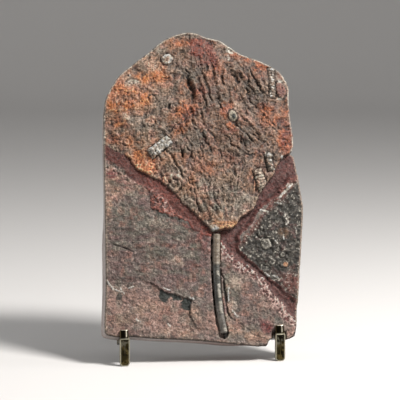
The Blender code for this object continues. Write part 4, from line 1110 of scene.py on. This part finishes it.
def face_cap(name, region, surface, cell, border):
    """A closed piece of the slab's face: fine relief on top and walls down into the slab."""
    low, high = OUTLINE.min(0) - cell, OUTLINE.max(0) + 2 * cell
    s_line, t_line = np.arange(low[0], high[0], cell), np.arange(low[1], high[1], cell)
    grid_s, grid_t = np.meshgrid(s_line, t_line)
    shape = grid_s.shape
    pts = np.column_stack([grid_s.ravel(), grid_t.ravel()])
    centres = np.column_stack([(grid_s[:-1, :-1] + cell / 2).ravel(), (grid_t[:-1, :-1] + cell / 2).ravel()])
    keep = (inside(OUTLINE, centres) & region(centres)).reshape(shape[0] - 1, shape[1] - 1)
    keep = settle_cells(keep)

    ring = np.pad(keep, 1).astype(int)
    around = ring[:-1, :-1] + ring[1:, :-1] + ring[:-1, 1:] + ring[1:, 1:]
    used = (around > 0).ravel()
    on_border = used & (around < 4).ravel()
    candidates = [foot_on_line(line, pts[on_border])[0] for line in border]
    gaps = np.array([np.linalg.norm(feet - pts[on_border], axis=1) for feet in candidates])
    choice = gaps.argmin(0)
    pts[on_border] = np.array(candidates)[choice, np.arange(len(choice))]

    rows_used = np.where(used.reshape(shape).any(1))[0]
    band = slice(max(0, rows_used[0] - 6) * shape[1], (rows_used[-1] + 7) * shape[1])
    height = np.zeros(len(pts))
    colour = np.zeros((len(pts), 3))
    height[band], colour[band] = surface(pts[band])
    # painted shade in the hollows and painted highlights on the crests
    colour = paint_relief_light(height, colour, shape)

    number = -np.ones(len(pts), dtype=int)
    number[used] = np.arange(used.sum())
    corner = np.arange(len(pts)).reshape(shape)
    a, b = corner[:-1, :-1][keep], corner[:-1, 1:][keep]
    c, d = corner[1:, 1:][keep], corner[1:, :-1][keep]
    quads = number[np.column_stack([a, b, c, d])]
    sides = np.vstack([quads[:, [0, 1]], quads[:, [1, 2]], quads[:, [2, 3]], quads[:, [3, 0]]])
    known = set(map(tuple, sides.tolist()))
    rim_edges = [(i, j) for i, j in known if (j, i) not in known]

    top = pts[used]
    vertices = [slab_to_world(top[:, 0], top[:, 1], height[used])]
    colours = [colour[used]]
    faces = quads.tolist()
    count = len(top)
    for loop in ordered_borders(rim_edges):
        edge = top[loop]
        vertices.append(slab_to_world(*behind(edge, CAP_DEPTH), -CAP_DEPTH))
        colours.append(wall_colours(edge))
        size = len(loop)
        for i in range(size):
            j = (i + 1) % size
            faces.append([loop[j], loop[i], count + i, count + j])
        faces.append([count + i for i in range(size)][::-1])
        count += size
    return new_mesh(name, np.vstack(vertices), faces, np.vstack(colours))


def paint_relief_light(height, colour, shape):
    """Paint shade into the hollows and highlights onto the crests."""
    relief = height - soften(soften(height, shape, 2), shape, 3)
    colour = shade(colour, colour * 0.42, ramp(-relief, 0.05, 0.85))
    return shade(colour, np.minimum(colour * 1.5, 0.8), ramp(relief, 0.05, 0.8))


def wall_colours(edge):
    """Sawn sides: greyer on the left and pinker on the right."""
    pinker = ramp(edge[:, 0], -60.0, 60.0)
    return shade(np.tile(SAWN, (len(edge), 1)), SAWN_PINK, pinker)


def make_core():
    """The sawn body of the slab behind the relief: straight sides, a flat back and a plug on top."""
    back = -SLAB_THICKNESS
    rows = [(back, BACK_CHAMFER), (back + BACK_CHAMFER, 0.0), (back * 0.62, 0.0), (back * 0.4, 0.0),
            (-CAP_DEPTH, 0.0), (-CAP_DEPTH, PLUG_INSET), (-CAP_DEPTH + CAP_OVERLAP, PLUG_INSET)]
    run = unit(np.roll(OUTLINE, -1, axis=0) - np.roll(OUTLINE, 1, axis=0))
    inward = np.column_stack([-run[:, 1], run[:, 0]])
    rings = [slab_to_world(*behind(OUTLINE + inset * inward, -n), n) for n, inset in rows]
    return ring_mesh("slab_core", rings, [wall_colours(OUTLINE)] * len(rows))


def stem_colours(place, turn, joint, rippled):
    """One ring of the stem: beige at the top, grey at the foot, dark between, with a pale streak right of its
    middle, partly flakes of calcite and partly a painted highlight.
    """
    beige, grey = ramp(place, 67.0, 72.0), ramp(place, 33.0, 28.0)
    base = STEM_DARK * (1 - beige - grey) + STEM_BEIGE * beige + STEM_GREY * grey
    flakes_and_glints = grain(np.column_stack([turn * 2.2, np.full(len(turn), place)]), 3.4, 98)
    # a pale streak where the key light would glint: partly calcite, partly a painted highlight
    streak = ramp(np.abs(turn - 1.2), 0.75, 0.15) * ramp(flakes_and_glints, -0.15, 0.5) * (1 - 0.6 * beige)
    return shade(base * (1.0 + 0.35 * rippled - 0.35 * joint)[:, None], BONE, 0.85 * streak)


def make_stem():
    """The crinoid's stem: a stack of columnals that stands free of the rock on both sides."""
    places, middles, run = walk(STEM, STEM_RING_STEP)
    turn = np.arange(STEM_SIDES) * 2 * math.pi / STEM_SIDES
    rings, colours = [], []
    for place, (mid_s, mid_t), (run_s, run_t) in zip(places, middles, run):
        joint = ramp(abs(place / COLUMNAL - math.floor(place / COLUMNAL) - 0.5), 0.34, 0.5)
        rounded = math.sqrt(max(0.0, 1 - max(0.0, 1 - place / STEM_END) ** 2))
        rippled = grain(np.column_stack([turn * 3.0, np.full(STEM_SIDES, place)]), 2.6, 97)
        radius = (STEM_RADIUS - 0.22 * joint + 0.16 * rippled) * max(rounded, 0.05)
        across = radius * np.cos(turn)
        rings.append(slab_to_world(mid_s + run_t * across, mid_t - run_s * across,
                                   STEM_RISE + radius * np.sin(turn)))
        colours.append(stem_colours(place, turn, joint, rippled))
    return ring_mesh("stem", rings, colours, smooth=True)


# ---------------------------------------------------------------- the brass stand
BAR_THICKNESS = 4.0
FOOT_WIDTH = 10.0
FOOT_CORNER = 3.6               # radius of a foot's lower corners
FOOT_SHOULDER = 1.1             # and of its upper ones
CORNER_STEPS = 6
FOOT_STEP = 0.8
# From a foot's back to the middle of its front: inset, place behind the front, and how pale it is painted,
# for rubbed brass and a painted highlight on the bevels
FOOT_ROWS = [
    (0.8, BAR_THICKNESS, 0.3), (0.0, BAR_THICKNESS - 0.8, 0.8), (0.0, 0.9, 0.9), (0.25, 0.3, 1.0),
    (0.9, 0.0, 1.0), (1.25, 0.12, 0.25), (1.7, 0.14, 0.0), (2.3, 0.14, 0.0), (3.0, 0.14, 0.0),
    (3.8, 0.14, 0.0), (4.6, 0.14, 0.0),
]
# The diagonal streak and the dark upper end of each foot
STREAKS = {
    "left": {"seed": 111, "dark_from": 40.0, "height": 17.0, "slope": -0.9, "width": 2.6},
    "right": {"seed": 114, "dark_from": 18.5, "height": 16.0, "slope": 0.1, "width": 2.2},
}
# Slices across an arm, in half widths from its middle, and how far the outer ones are drawn in
ARM_SLICES = [(-1.0, 0.5), (-0.88, 0.0), (-0.5, 0.0), (-0.1, 0.0), (0.2, 0.0), (0.32, 0.0), (0.45, 0.0),
              (0.58, 0.0), (0.7, 0.0), (0.88, 0.0), (1.0, 0.5)]
LIP_BULGE = 0.9
UPRIGHT_HEIGHT = 178.0
GUSSET = (10.0, 9.6)
BRASS_DARK = linear(34, 30, 22)
BRASS_OLIVE = linear(70, 62, 38)
BRASS_GOLD = linear(128, 112, 72)
BRASS_WORN = linear(164, 159, 140)
# pale brass for the lips' painted highlights
BRASS_HIGHLIGHT = linear(240, 230, 206)
HIGHLIGHT_PLACE, HIGHLIGHT_WIDTH = 0.45, 0.12       # the painted highlight down each lip, in half widths


def place_of(node_name):
    """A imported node's middle from side to side, and its front, in millimetres."""
    low, high = millimetres(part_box(node_name))
    return (low[0] + high[0]) / 2, low[1]


def foot_ring(inset):
    """The foot's front view, drawn smaller by inset: (x, z) from its middle and the floor."""
    top, half = LEDGE_HEIGHT - REST_GAP, FOOT_WIDTH / 2
    tall = round((top - FOOT_CORNER - FOOT_SHOULDER) / FOOT_STEP)
    loop, pieces = [], []
    for side, end, radius, first, steps in ((1, -1, FOOT_CORNER, -90, tall), (1, 1, FOOT_SHOULDER, 0, 6),
                                            (-1, 1, FOOT_SHOULDER, 90, tall), (-1, -1, FOOT_CORNER, 180, 6)):
        left = max(radius - inset, 0.25)
        x = side * (half - inset - left)
        z = top - inset - left if end > 0 else inset + left
        for i in range(CORNER_STEPS + 1):
            angle = math.radians(first + 90 / CORNER_STEPS * i)
            loop.append((x + left * math.cos(angle), z + left * math.sin(angle)))
        pieces += [1] * CORNER_STEPS + [steps]
    return np.array([(a[0] + (b[0] - a[0]) * k / count, a[1] + (b[1] - a[1]) * k / count)
                     for a, b, count in zip(loop, loop[1:] + loop[:1], pieces) for k in range(count)])


def foot_colours(ring, rub_and_highlight, seed, dark_from, height, slope, width):
    """Patchy old brass: dark and olive with a lighter diagonal streak, and edges painted pale, partly rubbed
    and partly a painted highlight.
    """
    x, z = ring[:, 0], ring[:, 1]
    cloud = grain(ring, 4.5, seed)
    low_flecks = ramp(grain(ring, 2.8, seed + 3, 2), 0.0, 0.6) * ramp(z, height, height - 5.0)
    high_flecks = ramp(grain(ring, 2.6, seed + 5, 2), 0.15, 0.7) * ramp(z, height - 3.0, height + 2.0)
    colour = layered(np.tile(BRASS_OLIVE, (len(ring), 1)), [
        (BRASS_DARK, 0.5 + 1.1 * cloud),
        (BRASS_DARK, ramp(z, dark_from, dark_from + 3.0)),
        (BRASS_GOLD, ramp(np.abs(z - (height + slope * x)), width, 0.3) * (0.8 + 0.4 * cloud)),
        (BRASS_GOLD * 0.9, 0.9 * low_flecks),
        (BRASS_WORN * 0.8, 0.8 * high_flecks),
    ])
    # pale bevels: rubbed brass and a painted highlight
    return shade(colour * 0.5, BRASS_WORN, rub_and_highlight)


def make_foot(name, node_name, streak):
    """A flat plate that stands upright on the floor, with bevels painted pale, partly rubbed and partly a
    painted highlight.
    """
    middle, front = place_of(node_name)
    rings, colours = [], []
    for inset, behind_front, rub_and_highlight in FOOT_ROWS:
        ring = foot_ring(inset)
        y = np.full(len(ring), front + behind_front)
        rings.append(np.column_stack([ring[:, 0] + middle, y, ring[:, 1]]) * MM)
        colours.append(foot_colours(ring, rub_and_highlight, **streak))
    return ring_mesh(name, rings, colours, flipped=True)


def arm_profile():
    """Side view of an arm, (y, z), and how much each corner belongs to the lip's front."""
    lip_back, lip_front = REST_GAP, REST_GAP + BAR_THICKNESS
    upright_front = -SLAB_THICKNESS - REST_GAP
    upright_back = upright_front - BAR_THICKNESS
    butt_y = TOE_Y - FOOT_FRONT + BAR_THICKNESS + REST_GAP
    lip_y, lip_z = lean_point(lip_front, 0.0)
    seat_y = lip_y - (lip_z - LEDGE_HEIGHT) * math.tan(SLAB_LEAN)
    leaning = [(lip_front, t, 1.0) for t in (0.0, 2.0, 4.0, LIP_HEIGHT - 1.0)]
    leaning += [(lip_front - 0.35, LIP_HEIGHT - 0.3, 0.8), (lip_front - 1.1, LIP_HEIGHT, 0.4)]
    leaning += [(n, t, 0.0) for n, t in (
        (lip_back, LIP_HEIGHT), (lip_back, 0.0), (upright_front, 0.0), (upright_front, UPRIGHT_HEIGHT),
        (upright_back, UPRIGHT_HEIGHT), (upright_back, -BAR_THICKNESS), (-GUSSET[0], -BAR_THICKNESS))]
    corners = [lean_point(n, t) for n, t, _ in leaning]
    corners += [(butt_y, LEDGE_HEIGHT - GUSSET[1]), (butt_y, LEDGE_HEIGHT), (seat_y, LEDGE_HEIGHT)]
    return np.array(corners), np.array([bulge for _, _, bulge in leaning] + [0.0] * 3)


def mitred(profile):
    """How far each corner of a closed profile moves outward when its sides move out by 1."""
    run = unit(np.roll(profile, -1, axis=0) - profile)
    before = np.roll(run, 1, axis=0)
    turn = (run[:, 0] * before[:, 1] - run[:, 1] * before[:, 0]).sum()
    outward = np.column_stack([run[:, 1], -run[:, 0]]) * math.copysign(1.0, -turn)
    before = np.roll(outward, 1, axis=0)
    return (outward + before) / (1.0 + (outward * before).sum(1))[:, None]


def make_arm(name, node_name):
    """A strap with a rounded lip before the slab, a ledge under it and an upright behind it."""
    middle, _ = place_of(node_name)
    profile, bulge = arm_profile()
    mitre = mitred(profile)
    flat = np.zeros(len(bulge))
    rings, colours = [], []
    for u, inset in ARM_SLICES:
        swell = LIP_BULGE * bulge * (1 - u * u)
        shape = profile - inset * mitre
        shape = shape - np.column_stack([swell, flat]) + [LIP_BULGE / 2, 0.0] * bulge[:, None]
        rings.append(np.column_stack([flat + middle + u * ARM_WIDTH / 2, shape]) * MM)
        # a painted highlight down each lip's front and along its top
        lip_highlight = math.exp(-((u - HIGHLIGHT_PLACE) / HIGHLIGHT_WIDTH) ** 2)
        colours.append(layered(np.tile(BRASS_OLIVE, (len(shape), 1)), [
            (BRASS_DARK, 0.6 + grain(shape + 7.0 * u, 6.0, 101)),
            (BRASS_DARK * 0.5, 0.9 * (bulge == 1.0)),
            (BRASS_HIGHLIGHT, 0.9 * lip_highlight * (bulge == 1.0)),
            (BRASS_HIGHLIGHT, 0.8 * (bulge == 0.8) * (abs(u) < 0.8)),
            (BRASS_GOLD, 0.5 if inset else 0.0),
        ]))
    return ring_mesh(name, rings, colours, flipped=True)


# ---------------------------------------------------------------- materials
def plug(tree, node, sockets):
    """Link a node's inputs or set their values."""
    for key, value in sockets.items():
        if isinstance(value, bpy.types.NodeSocket):
            tree.links.new(value, node.inputs[key])
        else:
            node.inputs[key].default_value = value


def add_node(tree, kind, sockets, **settings):
    """A shader node with its settings, values and links."""
    made = tree.nodes.new(kind)
    for name, value in settings.items():
        setattr(made, name, value)
    plug(tree, made, sockets)
    return made


def new_material(name):
    """A Principled material, its node tree and its shader."""
    mat = bpy.data.materials.new(name)
    mat.use_nodes = True
    return mat, mat.node_tree, mat.node_tree.nodes["Principled BSDF"]


def object_place(tree):
    return tree.nodes.new("ShaderNodeTexCoord").outputs["Object"]


def noise_value(tree, place, size, detail=3.0, roughness=0.6):
    """Noise whose features are size millimetres across."""
    made = add_node(tree, "ShaderNodeTexNoise", {"Vector": place, "Scale": 1.0 / (size * MM),
                                                 "Detail": detail, "Roughness": roughness})
    return made.outputs["Fac"]


def remap(tree, value, low, high, to_low, to_high):
    made = add_node(tree, "ShaderNodeMapRange", {"Value": value, "From Min": low, "From Max": high,
                                                 "To Min": to_low, "To Max": to_high})
    return made.outputs["Result"]


def scaled(tree, colour, amount):
    """A colour made lighter or darker."""
    made = add_node(tree, "ShaderNodeVectorMath", {0: colour, "Scale": amount}, operation="SCALE")
    return made.outputs[0]


def mixed(tree, amount, first, second):
    made = add_node(tree, "ShaderNodeMix", {0: amount, 6: first, 7: second}, data_type="RGBA")
    return made.outputs[2]


def bumped(tree, height, depth, strength, under=None):
    """A bump depth millimetres deep, laid over another."""
    sockets = {"Height": height, "Distance": depth * MM, "Strength": strength}
    if under is not None:
        sockets["Normal"] = under
    return add_node(tree, "ShaderNodeBump", sockets).outputs["Normal"]


def painted(tree):
    return add_node(tree, "ShaderNodeAttribute", {}, attribute_name="tint").outputs["Color"]


ROCK_TONE = 0.42                # share of light that the painted colours give back


def rock_material(name, roughness, contrast, grit):
    """Painted rock with finer mottling, grit and pits than its mesh has, and pale specks painted as small
    glints.
    """
    mat, tree, shader = new_material(name)
    place = object_place(tree)
    coarse = noise_value(tree, place, 3.2)
    fine = noise_value(tree, place, 1.5, 2.0, 0.6)
    low, high = ROCK_TONE * (1 - contrast), ROCK_TONE * (1 + contrast)
    colour = scaled(tree, painted(tree), remap(tree, fine, 0.3, 0.7, low, high))
    colour = scaled(tree, colour, remap(tree, coarse, 0.3, 0.7, 1 - contrast / 4, 1 + contrast / 4))
    # pale specks painted as small glints
    glints = add_node(tree, "ShaderNodeTexVoronoi", {"Vector": place, "Scale": 1.0 / (2.6 * MM)})
    pale = remap(tree, glints.outputs["Distance"], 0.20, 0.08, 0.0, 0.25)
    plug(tree, shader, {
        "Base Color": mixed(tree, pale, colour, (*(PALE * ROCK_TONE), 1.0)),
        "Roughness": remap(tree, coarse, 0.3, 0.7, roughness - 0.1, roughness + 0.08),
        "Normal": bumped(tree, fine, grit, 0.9, bumped(tree, coarse, 0.25, 0.6)),
    })
    return mat


def sawn_material(name):
    """Sawn stone: pale and even, with faint saw lines."""
    mat, tree, shader = new_material(name)
    place = object_place(tree)
    cloud = noise_value(tree, place, 14.0)
    fine = noise_value(tree, place, 1.4, 4.0, 0.7)
    lines = add_node(tree, "ShaderNodeTexWave", {"Vector": place, "Scale": 90.0, "Distortion": 1.2,
                                                 "Detail": 2.0}, bands_direction="Z")
    colour = scaled(tree, painted(tree), remap(tree, fine, 0.3, 0.7, 0.8 * ROCK_TONE, 1.1 * ROCK_TONE))
    saw_marks = bumped(tree, lines.outputs["Fac"], 0.08, 0.5)
    plug(tree, shader, {
        "Base Color": mixed(tree, remap(tree, cloud, 0.45, 0.75, 0.0, 0.5), colour, (*SAWN_CLOUD, 1.0)),
        "Roughness": 0.8,
        "Normal": bumped(tree, fine, 0.2, 0.8, saw_marks),
    })
    return mat


def brass_material(name, has_paint):
    """Old brass, patchily tarnished."""
    mat, tree, shader = new_material(name)
    place = object_place(tree)
    cloud = noise_value(tree, place, 7.0, 4.0)
    fine = noise_value(tree, place, 1.2, 4.0, 0.7)
    if has_paint:
        colour = painted(tree)
    else:
        gilt = remap(tree, cloud, 0.35, 0.65, 0.0, 1.0)
        colour = mixed(tree, gilt, (*BRASS_OLIVE, 1.0), (*BRASS_GOLD, 1.0))
    plug(tree, shader, {
        "Metallic": 1.0,
        "Base Color": scaled(tree, colour, remap(tree, fine, 0.3, 0.7, 0.7, 1.2)),
        "Roughness": remap(tree, cloud, 0.3, 0.7, 0.26, 0.48),
        "Normal": bumped(tree, fine, 0.08, 0.6),
    })
    return mat


# ---------------------------------------------------------------- putting the object together
def dress(obj, mat, slot_name, *nodes):
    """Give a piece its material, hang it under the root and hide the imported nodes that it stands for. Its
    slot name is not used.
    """
    obj.data.materials.append(mat)
    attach(obj, "root")
    if nodes:
        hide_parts(*nodes)


def make_rock():
    def in_crown(centres):
        return inside(CROWN_REGION, centres)

    def in_panels(centres):
        off, _ = distance_to(BRINK, centres)
        return ~inside(CROWN_REGION, centres) | (off < 1.6)

    under_brink = BRINK + np.array([0.0, 1.6])
    crown = face_cap("crown_face", in_crown, crown_surface, CROWN_CELL, [RIM, BRINK])
    panels = face_cap("panel_face", in_panels, panel_surface, PANEL_CELL, [RIM, under_brink])
    dress(crown, rock_material("crown_rock", 0.68, 0.55, 0.60), "fossil_rock", "fossil_slab")
    dress(panels, rock_material("panel_rock", 0.76, 0.60, 0.50), "fossil_rock", "fossil_slab")
    dress(make_core(), sawn_material("sawn_rock"), "fossil_rock", "fossil_slab")
    dress(make_stem(), rock_material("stem_rock", 0.34, 0.25, 0.12), "fossil_rock", "fossil_slab")


def make_stand():
    painted_brass = brass_material("worn_brass", True)
    for side, streak in STREAKS.items():
        foot, arm = side + "_foot", side + "_arm"
        dress(make_foot(foot + "_plate", foot, streak), painted_brass, "stand_brass", foot)
        dress(make_arm(arm + "_strap", arm), painted_brass, "stand_brass", arm)
    bare = brass_material("bar_brass", False)
    for name in ("lower_crossbar", "upper_crossbar", "rear_leg"):
        node_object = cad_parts[name]
        node_object.data.materials.clear()
        node_object.data.materials.append(bare)


# ---------------------------------------------------------------- stage, lights and camera
def make_floor():
    """A pale floor that turns up into a backdrop all round."""
    profile = [(STAGE_RADIUS, 0.0)]
    for i in range(1, STAGE_STEPS + 1):
        angle = math.radians(90.0 * i / STAGE_STEPS)
        profile.append((STAGE_RADIUS + STAGE_BEND * math.sin(angle), STAGE_BEND * (1 - math.cos(angle))))
    profile.append((STAGE_RADIUS + STAGE_BEND, STAGE_TOP))
    vertices = [(0.0, 0.0, 0.0)]
    for radius, z in profile:
        for k in range(STAGE_SIDES):
            turn = 2 * math.pi * k / STAGE_SIDES
            vertices.append((radius * math.cos(turn), radius * math.sin(turn), z))
    faces = [[0, 1 + k, 1 + (k + 1) % STAGE_SIDES] for k in range(STAGE_SIDES)]
    faces += ring_faces(len(profile), STAGE_SIDES, first=1, flipped=True, capped=False)
    floor = new_mesh("floor", vertices, faces)
    mat, tree, shader = new_material("floor_paper")
    plug(tree, shader, {"Base Color": (0.62, 0.61, 0.60, 1.0), "Roughness": 0.9})
    floor.data.materials.append(mat)


def add_light(name, place, aim, size, watts, colour=(1.0, 1.0, 1.0)):
    lamp = bpy.data.lights.new(name, "AREA")
    lamp.shape = "RECTANGLE"
    lamp.size, lamp.size_y = size
    lamp.energy = watts
    lamp.color = colour
    obj = bpy.data.objects.new(name, lamp)
    bpy.context.scene.collection.objects.link(obj)
    obj.location = place
    obj.rotation_euler = (Vector(aim) - Vector(place)).to_track_quat("-Z", "Y").to_euler()


def make_lights():
    world = bpy.data.worlds.new("studio")
    world.use_nodes = True
    world.node_tree.nodes["Background"].inputs["Color"].default_value = (1.0, 1.0, 1.0, 1.0)
    world.node_tree.nodes["Background"].inputs["Strength"].default_value = 0.30
    bpy.context.scene.world = world
    aim = (0.0, 0.0, 0.17)
    add_light("key", (0.80, -0.70, 1.42), aim, (0.45, 0.45), 50.0, (1.0, 0.97, 0.94))
    add_light("left_fill", (-1.6, 0.1, 0.6), aim, (0.4, 1.0), 9.0)
    add_light("right_fill", (1.6, -0.2, 0.6), aim, (0.4, 1.0), 7.0)


def make_camera():
    """The photograph's view: a long lens, a little from the left and from above."""
    azimuth, elevation = math.radians(-9.5), math.radians(7.0)
    target = Vector((8.36, 33.16, 148.90)) * MM
    distance, sensor = 2000.0, 36.0
    focal_length, frame_width = 1950.0, 400.0       # in pixels of the photograph
    back = Vector((math.sin(azimuth) * math.cos(elevation), -math.cos(azimuth) * math.cos(elevation),
                   math.sin(elevation)))
    data = bpy.data.cameras.new("camera")
    data.sensor_width = sensor
    data.lens = sensor * focal_length / frame_width
    camera = bpy.data.objects.new("camera", data)
    camera.location = target + back * (distance * MM)
    camera.rotation_euler = (-back).to_track_quat("-Z", "Y").to_euler()
    bpy.context.scene.collection.objects.link(camera)
    bpy.context.scene.camera = camera


make_rock()
make_stand()
make_floor()
make_lights()
make_camera()
bpy.context.scene.view_settings.view_transform = "Standard"
